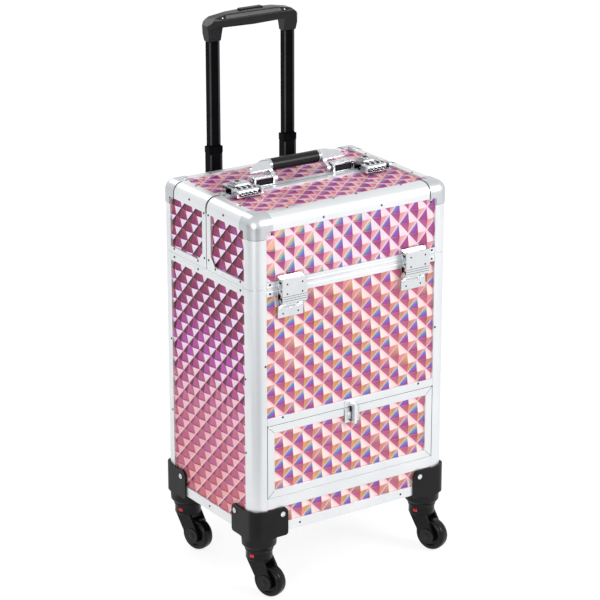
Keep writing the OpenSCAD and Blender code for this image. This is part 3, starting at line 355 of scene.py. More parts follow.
GRIP = plastic("grip_black", (0.004, 0.004, 0.005), (0.008, 0.008, 0.009), 0.3, 700.0, 0.00003, 0.22)
GRIP_LIT_GREY = plastic("grip_painted_light_grey", (0.06, 0.06, 0.062), (0.1, 0.1, 0.102), 0.34, 900.0, 0.0001, gloss=0.1)
WHEEL = plastic("wheel_black", (0.0025, 0.0025, 0.003), (0.005, 0.005, 0.0055), 0.17, 300.0, 0.00005, 0.2)
FORK = plastic("fork_black", (0.003, 0.003, 0.0035), (0.006, 0.006, 0.0065), 0.26, 900.0, 0.00005, 0.17)
HUB = plastic("wheel_hub", (0.004, 0.004, 0.0045), (0.009, 0.009, 0.01), 0.2, 900.0, 0.00005, 0.25)
RED = plastic("red_tab", linear((190, 20, 28)), linear((214, 34, 40)), 0.35, 900.0, 0.0001, gloss=0.1)
BOARD = board()


# Mesh helpers
def take(bm, name):
    """Makes a mesh of what bm holds."""
    mesh = bpy.data.meshes.new(name)
    bm.to_mesh(mesh)
    bm.free()
    return mesh


def add(name, data):
    made = bpy.data.objects.new(name, data)
    bpy.context.scene.collection.objects.link(made)
    return made


def soften(piece, width, harden):
    """Rounds the sharp edges by a width in millimetres."""
    edges = piece.modifiers.new("edges", "BEVEL")
    edges.width = width / 1000
    edges.segments = 2
    edges.limit_method = "ANGLE"
    edges.angle_limit = math.radians(35)
    edges.harden_normals = harden


def to_object(name, bm, materials, body, replaces=(), bevel=0.0, smooth=35):
    """Moves a mesh from millimetres of the case to the frame, and makes it a piece on its body."""
    bmesh.ops.recalc_face_normals(bm, faces=bm.faces)
    bm.transform(move(0, SHIFT, 0))
    bm.transform(Matrix.Scale(0.001, 4))
    mesh = take(bm, name)
    for material in materials:
        mesh.materials.append(material)
    mesh.shade_smooth()
    mesh.set_sharp_from_angle(angle=math.radians(smooth))
    piece = add(name, mesh)
    if bevel:
        soften(piece, bevel, True)
    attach(piece, body)
    if replaces:
        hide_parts(*replaces)


def paint(bm, first, index):
    """Gives the faces from the first one on a material."""
    bm.faces.ensure_lookup_table()
    for face in bm.faces[first:]:
        face.material_index = index


def block(bm, corner_a, corner_b, place=None, index=0):
    """Box between two opposite corners."""
    first = len(bm.faces)
    for vert in bmesh.ops.create_cube(bm, size=1.0)["verts"]:
        vert.co = Vector([(a + b) / 2 + c * abs(b - a) for a, b, c in zip(corner_a, corner_b, vert.co)])
        if place:
            vert.co = place @ vert.co
    paint(bm, first, index)


def loft(bm, sections, index=0):
    """Skins a list of point rings, with both ends closed."""
    first = len(bm.faces)
    rings = [[bm.verts.new(p) for p in section] for section in sections]
    count = len(rings[0])
    for low, high in zip(rings, rings[1:]):
        for i in range(count):
            j = (i + 1) % count
            bm.faces.new((low[i], low[j], high[j], high[i]))
    bm.faces.new(rings[0][::-1])
    bm.faces.new(rings[-1])
    paint(bm, first, index)


def prism(bm, points, start, end, place=Matrix(), index=0):
    """Solid from an outline in local XY between two heights."""
    loft(bm, [[place @ Vector((x, y, z)) for x, y in points] for z in (start, end)], index)


def revolve(bm, profile, place, count=32, index=0, closed=False):
    """Turns (radius, height) points round local Z. Ends on the axis are closed."""
    first = len(bm.faces)
    rings = []
    for r, z in profile:
        turns = [2 * math.pi * i / count for i in range(count if r > 1e-6 else 1)]
        rings.append([bm.verts.new(place @ Vector((r * math.cos(a), r * math.sin(a), z))) for a in turns])
    pairs = list(zip(rings, rings[1:]))
    if closed:
        pairs.append((rings[-1], rings[0]))
    for low, high in pairs:
        for i in range(count):
            j = (i + 1) % count
            if len(low) == 1 and len(high) > 1:
                bm.faces.new((low[0], high[i], high[j]))
            elif len(high) == 1 and len(low) > 1:
                bm.faces.new((low[i], high[0], low[j]))
            elif len(low) > 1:
                bm.faces.new((low[i], high[i], high[j], low[j]))
    paint(bm, first, index)


def rod(bm, r, start, end, place, count):
    """Round bar along local Z."""
    revolve(bm, [(0, start), (r, start), (r, end), (0, end)], place, count)


def round_rect(w, h, r):
    steps = 5
    points = []
    for x, y, turn in ((1, 1, 0), (-1, 1, 90), (-1, -1, 180), (1, -1, 270)):
        for i in range(steps + 1):
            a = math.radians(turn + 90 * i / steps)
            points.append((x * (w / 2 - r) + r * math.cos(a), y * (h / 2 - r) + r * math.sin(a)))
    return points


def dome(bm, r, h, place, index=0):
    """Nail or rivet head standing on local Z."""
    revolve(bm, [(0, -0.4), (r, -0.4), (r, 0.25 * h), (0.8 * r, 0.7 * h), (0.45 * r, 0.95 * h), (0, h)],
            place, 16, index)


# Places for small parts on the case's faces. Their local Z points outwards.
def on_front(x, z, y=-HALF_D):
    return move(x, y, z) @ rot("X", 90)


def on_side(side, y, z):
    return move(side * HALF_W, y, z) @ rot("Z", 90 * side) @ rot("X", 90)


def on_back(x, z, y=HALF_D):
    return move(x, y, z) @ rot("Z", 180) @ rot("X", 90)


def on_top(x, y, z=TOP_Z):
    return move(x, y, z)


# Embossed film sheets
rng = random.Random(7)
VALLEY, RIDGE, FILM_FIT = 0.1, 0.3, 0.3


def gem_sheet(w, h, pitch, peak):
    """Embossed sheet in local XY, its back at z 0, cut from a field of pyramids. One of them has its
    peak at peak. Flat strips run along the valleys and the ridges are softened. Returns a mesh."""
    bm = bmesh.new()
    layer = bm.loops.layers.float_vector.new("cell")
    cols, rows = (range(math.floor((-size / 2 - at) / step), math.ceil((size / 2 - at) / step) + 1)
                  for size, at, step in zip((w, h), peak, pitch))
    grid, insets = {}, {}
    for j in rows:
        for i in cols:
            top = SHEET_T + (GEM_H if (i + j) % 2 == 0 else 0)
            grid[i, j] = bm.verts.new((peak[0] + i * pitch[0], peak[1] + j * pitch[1], top))

    def inset(p, q):
        """The point on the edge p-q, a short way from its valley end."""
        key = (min(p, q), max(p, q))
        if key not in insets:
            low, high = (p, q) if sum(p) % 2 else (q, p)
            point = grid[low].co.lerp(grid[high].co, VALLEY)
            point.z = SHEET_T
            insets[key] = bm.verts.new(point)
        return insets[key]

    for j in rows[:-1]:
        for i in cols[:-1]:
            a, b, c, d = (i, j), (i + 1, j), (i + 1, j + 1), (i, j + 1)
            chance = rng.random()
            if (i + j) % 2 == 0:
                parts = [((grid[a], inset(a, b), inset(a, d)), 0), ((grid[c], inset(c, d), inset(c, b)), 1),
                         ((grid[b], inset(b, c), inset(c, d), grid[d], inset(d, a), inset(a, b)), 4)]
            else:
                parts = [((grid[b], inset(b, c), inset(a, b)), 3), ((grid[d], inset(a, d), inset(d, c)), 2),
                         ((grid[a], inset(a, b), inset(b, c), grid[c], inset(c, d), inset(d, a)), 5)]
            for corners, facet in parts:
                face = bm.faces.new(corners)
                face.material_index = facet
                for loop in face.loops:
                    co = loop.vert.co
                    loop[layer] = ((co.x - peak[0]) / pitch[0] - i, (co.y - peak[1]) / pitch[1] - j, chance)
    peaks = {grid[key] for key in grid if sum(key) % 2 == 0}
    ridges = [e for e in bm.edges if len(e.link_faces) == 2 and (e.verts[0] in peaks or e.verts[1] in peaks)]
    bmesh.ops.bevel(bm, geom=ridges, offset=RIDGE, offset_type="OFFSET", segments=1, affect="EDGES",
                    clamp_overlap=True, material=-1)
    for side in (1, -1):
        for axis, half in ((X, w / 2), (Y, h / 2)):
            bmesh.ops.bisect_plane(bm, geom=bm.verts[:] + bm.edges[:] + bm.faces[:], dist=0.02,
                                   plane_co=axis * side * half, plane_no=axis * side, clear_outer=True)
    rim = [e for e in bm.edges if e.is_boundary]
    skirt = bmesh.ops.extrude_edge_only(bm, edges=rim)["geom"]
    for item in skirt:
        if isinstance(item, bmesh.types.BMVert):
            item.co.z = 0
    bottom = [e for e in skirt if isinstance(e, bmesh.types.BMEdge) and all(v.co.z == 0 for v in e.verts)]
    bmesh.ops.contextual_create(bm, geom=bottom)
    return take(bm, "sheet")


def wall_at(side, w, low, high, pitch, peak, along=0.0):
    """Sheet on an upright face: side 0 front, 1 right, 2 back, 3 left, between two heights."""
    out = (HALF_D if side % 2 == 0 else HALF_W) - WALL
    place = rot("Z", side * 90) @ move(along, -out, (low + high) / 2) @ rot("X", 90)
    return gem_sheet(w - FILM_FIT, high - low - FILM_FIT, pitch, peak), place


def skin(name, sheets, materials, body, nodes=()):
    bm = bmesh.new()
    for mesh, place in sheets:
        mesh.transform(place)
        bm.from_mesh(mesh)
        bpy.data.meshes.remove(mesh)
    to_object(name, bm, materials, body, nodes, smooth=3)


# The films' pitch, and one peak from the middle of each sheet, follow the photograph
WIDE, SMALL, FOOT, DRAWER = (17.0, 17.0), (15.5, 15.6), (17.7, 18.2), (17.4, 17.2)
LID_WIDE, LID_TOP = (16.8, 18.1), (18.0, 15.8)


def body_films():
    skin("front_film", [wall_at(0, PANEL_W, SURROUND_HIGH, PANEL_HIGH, WIDE, (2.0, 7.8)),
                        wall_at(0, PANEL_W, PANEL_LOW, SURROUND_LOW, FOOT, (1.3, -15.6))],
         FRONT_FILM, "case", ["front_skin"])
    skin("side_films", [wall_at(side, PANEL_D, PANEL_LOW, PANEL_HIGH, SMALL, (1.5, 8.6)) for side in (1, 3)],
         SIDE_FILM, "case", ["side_skins"])
    skin("back_film", [wall_at(2, PANEL_W, PANEL_LOW, STRAP_LOW, WIDE, (2.0, 3.0)),
                       wall_at(2, PANEL_W, STRAP_HIGH, PANEL_HIGH, WIDE, (2.0, 3.0))],
         FRONT_FILM, "case", ["back_skin"])
    drawer = wall_at(0, DRAWER_W - 2 * DRAWER_FRAME, DRAWER_LOW + DRAWER_FRAME,
                     DRAWER_HIGH - DRAWER_FRAME, DRAWER, (2.0, 1.8))
    skin("drawer_film", [drawer], FRONT_FILM, "drawer", ["drawer_skin"])


def lid_films(half, body, side, end_peak):
    """Films of one half of the lid: side -1 is the front half, 1 the back half."""
    start, end = SEAM_STRIP_Y[1], HALF_D - FACE
    middle = side * (start + end) / 2
    ends = [wall_at(number, end - start, LID_PANEL_LOW, LID_PANEL_HIGH, SMALL, end_peak, along)
            for number, along in ((1, middle), (3, -middle))]
    top = gem_sheet(PANEL_W - FILM_FIT, end - start - FILM_FIT, LID_TOP, (12.4, 4.0))
    long_side = wall_at(1 + side, PANEL_W, LID_PANEL_LOW, LID_PANEL_HIGH, LID_WIDE, (1.3, 8.0))
    skin(half + "_lid_film", [long_side], LID_FILM, body, [half + "_lid_skin"])
    skin(half + "_lid_end_films", ends, SIDE_FILM, body)
    skin(half + "_lid_top_film", [(top, move(0, middle, TOP_Z - WALL))], TOP_FILM, body)


body_films()
lid_films("front", "front_lid", -1, (22.9, 9.4))
lid_films("back", "case", 1, (13.5, 11.6))


# CAD nodes that keep their shape
def dress(node, material, bevel):
    """Better material and softened edges for a CAD solid."""
    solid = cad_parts[node]
    solid.data.materials.clear()
    solid.data.materials.append(material)
    join = solid.modifiers.new("join", "WELD")
    join.merge_threshold = 0.00002
    soften(solid, bevel, False)
    shade = solid.modifiers.new("shade", "WEIGHTED_NORMAL")
    shade.keep_sharp = False
    shade.weight = 60


CASTERS = ("front_left", "front_right", "back_left", "back_right")
DRESS = {
    (BOARD, 0.35): ("base_board", "front_board", "side_boards", "back_board", "drawer_shelf",
                    "shelf_battens", "drawer_box", "front_lid_shell", "back_lid_shell"),
    (ALU_X, 0.3): ("bottom_rail", "drawer_surround", "drawer_frame", "trolley_strap"),
    (STEEL, 0.2): ("drawer_runners", "front_tray_arms", "back_tray_arms"),
    (ALU_Z, 0.2): ("catch_keeper", "catch_base", "catch_fin"),
    (CHROME, 0.3): ("front_hinge_leaves", "back_hinge_leaves", "lower_hinge_leaves", "hinge_pins",
                    "handle_brackets", "handle_bail", "bracket_screws"),
    (LOCK, 0.3): ("lock_bases", "left_lock_lever", "right_lock_lever", "lock_strikes"),
    (TRAY, 0.5): ("front_lower_tray", "front_upper_tray", "back_trays"),
    (GRIP, 0.5): ("handle_grip", "trolley_grip"),
    (TUBE, 0.6): ("trolley_sleeves", "trolley_tubes"),
    (BLACK, 0.6): ("trolley_channels", "trolley_button", "caster_brackets"),
    (FORK, 0.6): [side + "_fork" for side in CASTERS],
    (WHEEL, 0.6): [side + "_wheel" for side in CASTERS],
}
for (material, width), names in DRESS.items():
    for name in names:
        dress(name, material, width)


# Rounded edge profiles
EDGE_R, CAP_CLEAR, CAP_END, GAP_LINE = 16.0, 23.65, 33.6, 0.7
RAIL_CLEAR = 0.15
RAIL_METALS = (ALU_X, ALU_Y, ALU_Z, GAP, ALU_STRIP)
ALONG_X, ALONG_Y, ALONG_Z, DARK, STRIP = range(5)


def edge_section():
    """Edge profile: outer corner at the origin, legs along +X and +Y, slots for the boards."""
    turns = [math.radians(a) for a in range(0, 91, 10)]
    arc = [(EDGE_R * (1 - math.cos(a)), EDGE_R * (1 - math.sin(a))) for a in turns]
    slot = [(FACE, WALL), (12, WALL), (12, 8.5), (20, 8.5), (20, 10)]
    return [(0, FACE)] + arc + [(FACE, 0)] + slot + [(10, 10)] + [(y, x) for x, y in slot[::-1]]


def rail_section(h):
    """Flat rail with a web and an inner lip: depth and height, with one fine groove in its face."""
    return [(0, 0), (0, 0.3 * h), (0.45, 0.33 * h), (0.45, 0.38 * h), (0, 0.41 * h), (0, h), (WALL, h),
            (WALL, 2), (8.5, 2), (8.5, h), (10, h), (10, 0)]


def edge_post(bm, side_x, side_y, low, high):
    prism(bm, edge_section(), low, high, flip(side_x, side_y) @ move(-HALF_W, -HALF_D, 0), ALONG_Z)


def dark_line(bm, z, place):
    """Joint between a cap and a profile, and at the seam of the lid halves: a thin dark slice of the
    profile, a little proud, as painted shadow in the joint.
    """
    prism(bm, edge_section(), z, z + GAP_LINE, place @ move(-0.3, -0.3, 0), DARK)


def lid_rails(name, side_y, body, node):
    """Rails, posts and seam strips of one lid half: side_y 1 front, -1 back."""
    bm = bmesh.new()
    half = flip(1, side_y)
    along = half @ move(-HALF_W, -HALF_D, TOP_Z) @ basis(Y, -Z, X)
    near, far = SEAM_STRIP_Y
    prism(bm, edge_section(), CAP_CLEAR, 2 * HALF_W - CAP_CLEAR, along, ALONG_X)
    for z in (CAP_END, 2 * HALF_W - CAP_END - GAP_LINE):
        dark_line(bm, z, along)
    block(bm, (-PANEL_W / 2, -far, TOP_Z - WALL), (PANEL_W / 2, -near, TOP_Z), half, STRIP)
    prism(bm, rail_section(LID_RAIL_H), RAIL_CLEAR, PANEL_W - RAIL_CLEAR,
          half @ move(-PANEL_W / 2, -HALF_D, LID_Z) @ basis(Y, Z, X), ALONG_X)
    for side_x in (1, -1):
        side = flip(side_x, side_y)
        deep = side @ move(-HALF_W, 0, TOP_Z) @ basis(X, -Z, -Y)
        edge_post(bm, side_x, side_y, LID_Z, TOP_Z - CAP_CLEAR)
        prism(bm, edge_section(), near, HALF_D - CAP_CLEAR, deep, ALONG_Y)
        for z in (near + 0.3, HALF_D - CAP_END - GAP_LINE):
            dark_line(bm, z, deep)
        dark_line(bm, TOP_Z - CAP_END - GAP_LINE, side @ move(-HALF_W, -HALF_D, 0))
        block(bm, (-HALF_W, -far, LID_PANEL_LOW), (-HALF_W + WALL, -near, LID_PANEL_HIGH), side, ALONG_Y)
        gusset = side @ move(-HALF_W + 1, -far, LID_PANEL_LOW) @ basis(-Y, Z, -X)
        prism(bm, [(0, 0), (11, 0), (0, 13)], 0, 1, gusset, ALONG_Y)
        foot = side @ move(-HALF_W, -near - RAIL_CLEAR, LID_Z) @ basis(X, Z, -Y)
        prism(bm, rail_section(LID_RAIL_H), 0, HALF_D - FACE - near - 2 * RAIL_CLEAR, foot, ALONG_Y)
    # The end faces at the seam between the lid halves are painted dark, as painted shade in the gap there.
    for face in bm.faces:
        if abs(abs(face.normal.y) - 1) < 0.01 and abs(face.calc_center_median().y) < near + 0.1:
            face.material_index = DARK
    to_object(name, bm, RAIL_METALS, body, [node], 0.35)


def corner_posts():
    bm = bmesh.new()
    for side_x, side_y in ((1, 1), (1, -1), (-1, 1), (-1, -1)):
        edge_post(bm, side_x, side_y, CASE_Z, SEAM_Z)
    to_object("rounded_corner_posts", bm, RAIL_METALS[:3], "case", ["corner_posts"], 0.4)


def rim_rails():
    bm = bmesh.new()
    for turn in range(4):
        half, reach = (PANEL_W / 2, HALF_D) if turn % 2 == 0 else (PANEL_D / 2, HALF_W)
        place = rot("Z", 90 * turn) @ move(-half, -reach, SEAM_Z) @ basis(Y, -Z, X)
        prism(bm, rail_section(RIM_H), RAIL_CLEAR, 2 * half - RAIL_CLEAR, place, turn % 2)
    to_object("grooved_rim_rails", bm, RAIL_METALS[:2], "case", ["rim_rail"], 0.3)


lid_rails("front_lid_edge_rails", 1, "front_lid", "front_lid_rails")
lid_rails("back_lid_edge_rails", -1, "case", "back_lid_rails")
corner_posts()
rim_rails()


def ball_cap(bm, place):
    """Pressed corner cap: a ball whose three faces each run out in two arms as wide as the rails."""
    size, proud, wall, step = 33.5, 1.2, 1.7, 1.5
    count = round((size + proud) / step)
    sheets = []
    for radius in (EDGE_R + proud, EDGE_R + proud - wall):
        sheet = []
        for turn in range(3):
            grid = {}
            for i in range(count + 1):
                for j in range(count + 1):
                    flat = [-proud, i * (size + proud) / count - proud, j * (size + proud) / count - proud]
                    point = Vector(flat[-turn:] + flat[:-turn]) if turn else Vector(flat)
                    core = Vector([max(EDGE_R, c) for c in point])
                    grid[i, j] = bm.verts.new(place @ (core + (point - core).normalized() * radius))
            for i in range(count):
                for j in range(count):
                    if (min(i, j) + 0.5) * step - proud < FACE:
                        corners = [(i, j), (i + 1, j), (i + 1, j + 1), (i, j + 1)]
                        sheet.append(bm.faces.new([grid[corner] for corner in corners]))
        sheets.append(sheet)
    for vert in [v for v in bm.verts if not v.link_faces]:
        bm.verts.remove(vert)
    for sheet in sheets:
        bmesh.ops.remove_doubles(bm, verts=list({v for face in sheet for v in face.verts}), dist=0.01)
    bmesh.ops.bridge_loops(bm, edges=[e for e in bm.edges if e.is_boundary])


def ball_caps(name, side_y, body, node):
    """Both caps of one lid half. Each is bridged from its outside to its inside by itself."""
    whole = bmesh.new()
    for side_x in (1, -1):
        bm = bmesh.new()
        ball_cap(bm, flip(side_x, side_y) @ move(-HALF_W, -HALF_D, TOP_Z) @ Matrix.Diagonal((1, 1, -1, 1)))
        part = take(bm, "part")
        whole.from_mesh(part)
        bpy.data.meshes.remove(part)
    to_object(name, whole, (CAP,), body, replaces=[node], smooth=50)


ball_caps("front_lid_ball_caps", 1, "front_lid", "front_lid_caps")
ball_caps("back_lid_ball_caps", -1, "case", "back_lid_caps")


def heads(name, places, body, material=DARK_NAIL, r=1.75, h=0.8):
    """Nail or rivet heads, as one piece."""
    bm = bmesh.new()
    for place in places:
        dome(bm, r, h, place)
    to_object(name, bm, (material,), body)


def mirrored(face, *places):
    """Places on a face, left and right of its middle."""
    return [face(side * x, z) for side in SIDES for x, z in places]


def on_ends(side_y, *places):
    return [on_side(side, side_y * y, z) for side in SIDES for y, z in places]


def body_nails():
    nails = mirrored(on_front, (143.4, 475.5), (122, 281.5), (151.5, 366), (92, 107.5))
    nails += mirrored(on_back, (143.4, 475.5), (60, 477), (151.5, 440), (151.5, 250), (100, 383), (140, 383),
                      (60, 107.5))
    nails += on_ends(1, (-91, 477), (91, 477), (-103, 345), (103, 345), (-103, 230), (103, 230), (0, 107.5),
                     (24, 477))
    heads("body_nails", nails, "case")


def lid_nails(name, face, side_y, body):
    """Nails of one lid half: side_y -1 front, 1 back."""
    nails = mirrored(face, (51, 574.5), (140, 564), (143.4, 489))
    nails += on_ends(side_y, (46.5, 578), (101.4, 568.5), (93, 569), (6, 567.5), (6, 499), (91, 490),
                     (24, 490))
    top = ((100, 6), (145, 6), (100, 103), (20, 103), (152, 60))
    nails += mirrored(on_top, *[(x, side_y * y) for x, y in top])
    heads(name, nails, body)


body_nails()
lid_nails("front_lid_nails", on_front, -1, "front_lid")
lid_nails("back_lid_nails", on_back, 1, "case")


# Hinges: the box covers of the upper leaves ride the lid, ribs and rivets of the lower leaves the case
COVER_Y, COVER_EDGE, LEAF_Y = -136.9, 21.4, -124.2


def hinge_cover(bm, place):
    """Box cover of the upper leaf with turned sides, and fine dark lines over the knuckle: painted shadow in
    the slits beside its cheeks and in its grooves.
    """
    middle, top = 479, 497
    shade_slits = ((0.3, -134.5, -128.5, 489.5, 493), (0.3, -134.5, -130, 478, 481), (0.5, -135.5, -130, 463, 472))
    prism(bm, round_rect(43, 37, 2.5), COVER_Y, -135.8, place @ move(0, 0, middle) @ basis(X, Z, Y))
    for side in SIDES:
        cheek = [(-136, 472), (LEAF_Y, 475), (LEAF_Y, 492), (-127, top - 0.5), (-136, top)]
        prism(bm, cheek, 20.6, 21.5, place @ flip(side, 1) @ basis(Y, Z, X))
        x = side * COVER_EDGE
        for depth, near, far, low, high in shade_slits:
            block(bm, (x - depth, near, low), (x + depth, far, high), place, 1)
    block(bm, (-20, -136, top - 1), (20, LEAF_Y, top), place)
    for z in (470.6, 467.2, 463.8):
        block(bm, (-20.6, -137.1, z), (20.6, -136.8, z + 0.6), place, 1)


def upper_hinges(name, side_y, body, face):
    bm = bmesh.new()
    for x in HINGES:
        hinge_cover(bm, flip(1, side_y) @ move(x, 0, 0))
    to_object(name + "_covers", bm, (CHROME, GAP), body, bevel=0.25)
    rivets = [face(x, z, COVER_Y * side_y) for x in HINGE_RIVETS for z in (489.5, 475)]
    heads(name + "_rivets", rivets, body, r=1.4, h=0.6)


def lower_hinges():
    """Ribs of the knuckles and rivets of the leaves on the body."""
    bm = bmesh.new()
    for side_y in (1, -1):
        for x in HINGES:
            for z in (451.5, 449.2):
                rib = flip(1, side_y) @ move(x, -125.7, z) @ rot("Y", 90)
                rod(bm, 0.5, -20.5, 20.5, rib, 10)
    to_object("lower_hinge_ribs", bm, (CHROME,), "case")
    rivets = [face(x, 442, y) for face, y in ((on_front, -125.5), (on_back, 125.5)) for x in HINGE_RIVETS]
    heads("lower_hinge_rivets", rivets, "case", r=1.4, h=0.6)


upper_hinges("front_hinge", 1, "front_lid", on_front)
upper_hinges("back_hinge", -1, "case", on_back)
lower_hinges()


# Locks: louvres and keyhole plates ride the levers, rivets and slots the bases
def lock_louvres(name, x, body):
    bm = bmesh.new()
    top, place, pitch = TOP_Z + 10, move(x, 0, 0), 9
    # The dark blocks between the louvres, in the slots, at the keyhole and at the back are painted shade.
    for k in range(4):
        gap = -14 + pitch * k
        block(bm, (gap, -19.5, top - 0.3), (gap + 2.4, -3, top + 0.5), place, 1)
    for k in range(3):
        prism(bm, round_rect(4.6, 15, 2), top - 0.2, top + 1.7, place @ move(-8.3 + pitch * k, -11.5, 0))
    prism(bm, round_rect(30, 20, 3), top + 1.9, top + 2.8, place @ move(0, 3.2, 0))
    boss_y, boss_r, key = 8, 6.6, 3.2
    boss = [(0, 2), (boss_r, 2), (boss_r, 3.2), (boss_r - 0.8, 3.8), (0, 3.8)]
    revolve(bm, boss, place @ move(0, boss_y, top))
    block(bm, (-key, boss_y - key, top + 3.7), (key, boss_y + key, top + 4.35), place, 1)
    for slot in (-12.6, -8.4):
        block(bm, (slot - 0.9, -5, top + 2.6), (slot + 0.9, 11.5, top + 3.05), place, 1)
    block(bm, (-13, 20.6, TOP_Z + 4), (13, 21.1, TOP_Z + 8), place, 1)
    to_object(name, bm, (LOCK, GAP), body, bevel=0.2)


def lock_bases():
    rivets = [on_top(side * LOCK_X + dx, -26, TOP_Z + 1.5) for side in SIDES for dx in (-19, 19)]
    heads("lock_rivets", rivets, "front_lid", STEEL, 1.7)
    bm = bmesh.new()
    for side in SIDES:
        x = side * LOCK_X
        # The plate is dark and the bars over it chrome, so the dark between the bars paints the shade in the
        # base's slots.
        block(bm, (x - 17.5, -28, TOP_Z + 1.4), (x + 17.5, -20, TOP_Z + 2.6))
        for k in range(5):
            slot = x - 15 + 7 * k
            block(bm, (slot, -29.4, TOP_Z + 3.2), (slot + 4, -24, TOP_Z + 3.6), None, 1)
    to_object("lock_base_slots", bm, (GAP, CHROME), "front_lid")


lock_louvres("left_lock_louvres", -LOCK_X, "left_lever")
lock_louvres("right_lock_louvres", LOCK_X, "right_lever")
lock_bases()


# Carrying handle
def arm_covers():
    """Chrome covers lofted over the arms, and rings at the grip's ends."""
    bm = bmesh.new()
    bail = move(0, BAIL_Y, BAIL_Z) @ rot("X", BAIL_REST)
    # Reach from the pivots, inner and outer x, lower and upper side
    sections = ((12.5, 45, 84, 3.6, 6.2), (16, 45, 84, 2.5, 7.4), (21, 44.6, 80, 0.5, 8.8),
                (26, 44.4, 70, -3, 9.6), (31, 44.4, 60, -4, 8.4), (34.5, 44.6, 54, -3, 5))
    for side in SIDES:
        place = flip(side, 1) @ bail
        rows = []
        for reach, inner, outer, low, high in sections:
            ring = ((inner, low), (outer, low), (outer, high - 2), (outer - 2.5, high), (inner + 1.5, high),
                    (inner, high - 1.5))
            rows.append([place @ Vector((x, reach, z)) for x, z in ring])
        loft(bm, rows)
        for x in (42.6, 45):
            revolve(bm, [(9.4, -1), (10.3, -0.6), (10.3, 0.6), (9.4, 1), (4.2, 1), (4.2, -1)],
                    place @ move(x, BAIL_ARM, 0) @ rot("Y", 90), closed=True)
    to_object("bail_arm_covers", bm, (CHROME,), "bail", bevel=0.4)


def bracket_cheeks():
    """Cheek plates of the handle's brackets, pin heads, and a dark sheet in the gap in front as painted
    shade.
    """
    bm = bmesh.new()
    low, top, shoulder, front, back, cheek = 592.2, 606.6, 603, 1.3, 20.2, 3.2
    outline = [(front, low), (back, low), (back, shoulder), (back - 3.2, top), (front + 3.2, top),
               (front, shoulder)]
    for side in SIDES:
        for x in (53.5, 86.5):
            prism(bm, outline, side * (x - cheek / 2), side * (x + cheek / 2), basis(Y, Z, X))
        rod(bm, 4.2, 88.2, 89.4, flip(side, 1) @ move(0, BAIL_Y, BAIL_Z) @ rot("Y", 90), 6)
        block(bm, (side * 56, 3.2, 594.2), (side * 84, 3.6, 603.3), None, 1)
    to_object("handle_bracket_cheeks", bm, (CHROME, GAP), "case", bevel=0.35)


arm_covers()
bracket_cheeks()


# Drawer
def catch_details():
    """Rivets of the catch, the edges of its keeper, and dark strips beside its fin as painted shade."""
    bm = bmesh.new()
    for x in (-9.5, 9.5):
        for z in (253, 266):
            dome(bm, 1.4, 0.7, on_front(x, z, -125.2), 1)
    for side in SIDES:
        edge, gap = side * 12.6, side * 3.4
        block(bm, (edge - 0.4, -125.6, 249), (edge + 0.4, -124.4, 270.5))
        block(bm, (gap - 0.8, -128.1, 250), (gap + 0.8, -125, 273), None, 2)
    to_object("catch_details", bm, (CHROME, STEEL, GAP), "drawer")


def mitre_lines():
    bm = bmesh.new()
    half = DRAWER_FRAME / 2
    for side in SIDES:
        for z, turn in ((DRAWER_LOW + half, -45), (DRAWER_HIGH - half, 45)):
            place = on_front(side * (DRAWER_W / 2 - half), z) @ rot("Z", turn * side)
            block(bm, (-7.6, -0.25, -0.4), (7.6, 0.25, 0.06), place)
    to_object("frame_mitre_lines", bm, (GAP,), "drawer")


def drawer_gap_lines():
    """Painted shade in the gap round the drawer's frame: dark strips, wider at its upper corners."""
    bm = bmesh.new()
    for side in SIDES:
        line, corner = side * 148.75, side * 148.4
        block(bm, (line - 0.35, -124.1, 157), (line + 0.35, -123, 272))
        block(bm, (corner - 0.9, -124.3, 271.2), (corner + 0.9, -123, 273))
    block(bm, (-DRAWER_W / 2, -124.1, DRAWER_HIGH), (DRAWER_W / 2, -123, DRAWER_HIGH + 0.6))
    to_object("drawer_gap_lines", bm, (GAP,), "case")


catch_details()
mitre_lines()
drawer_gap_lines()


# Trolley handle
def grip_trim():
    """Grey panel along the grip's sloping front, its grey painted light that this upward-facing face
    catches, and a screw at each of its ends.
    """
    slope = rot("X", -math.degrees(math.atan2(4.5, 7.5))) @ rot("X", 90)
    bm = bmesh.new()
    outline = [(-50, -2.6), (50, -2.6), (48, 2.6), (-48, 2.6)]
    prism(bm, outline, -0.2, 0.5, move(0, GRIP_Y - 12 + 2.25 + 0.55, 815.75) @ slope)
    to_object("grip_panel", bm, (GRIP_LIT_GREY,), "tubes", (), 0.2)
    bm = bmesh.new()
    for side in SIDES:
        dome(bm, 1.6, 0.8, move(side * 55, GRIP_Y - 12 + 2.4, 815) @ slope)
    to_object("grip_screws", bm, (STEEL,), "tubes")


def flanks(name, w, d, low, high, body):
    """Grey strips along both edges of the tubes' front and back faces: painted reflection of the bright
    surroundings on the tubes' rounded edges.
    """
    bm = bmesh.new()
    outline = [(-1.7, -0.5), (1.4, -0.5), (1.75, 0), (1.2, 0.25), (-1.4, 0.25)]
    for side in SIDES:
        for edge in SIDES:
            for face in SIDES:
                place = move(side * TUBE_X + edge * (w / 2 - 1.9), GRIP_Y + face * d / 2, 0) @ flip(1, face)
                prism(bm, [(edge * x, y) for x, y in outline], low, high, place)
    to_object(name, bm, (TUBE_SHEEN_GREY,), body)


grip_trim()
flanks("tube_flanks", 19, 10, 622, 780, "tubes")
flanks("sleeve_flanks", 22.6, 13.6, 404, 607, "sleeves")


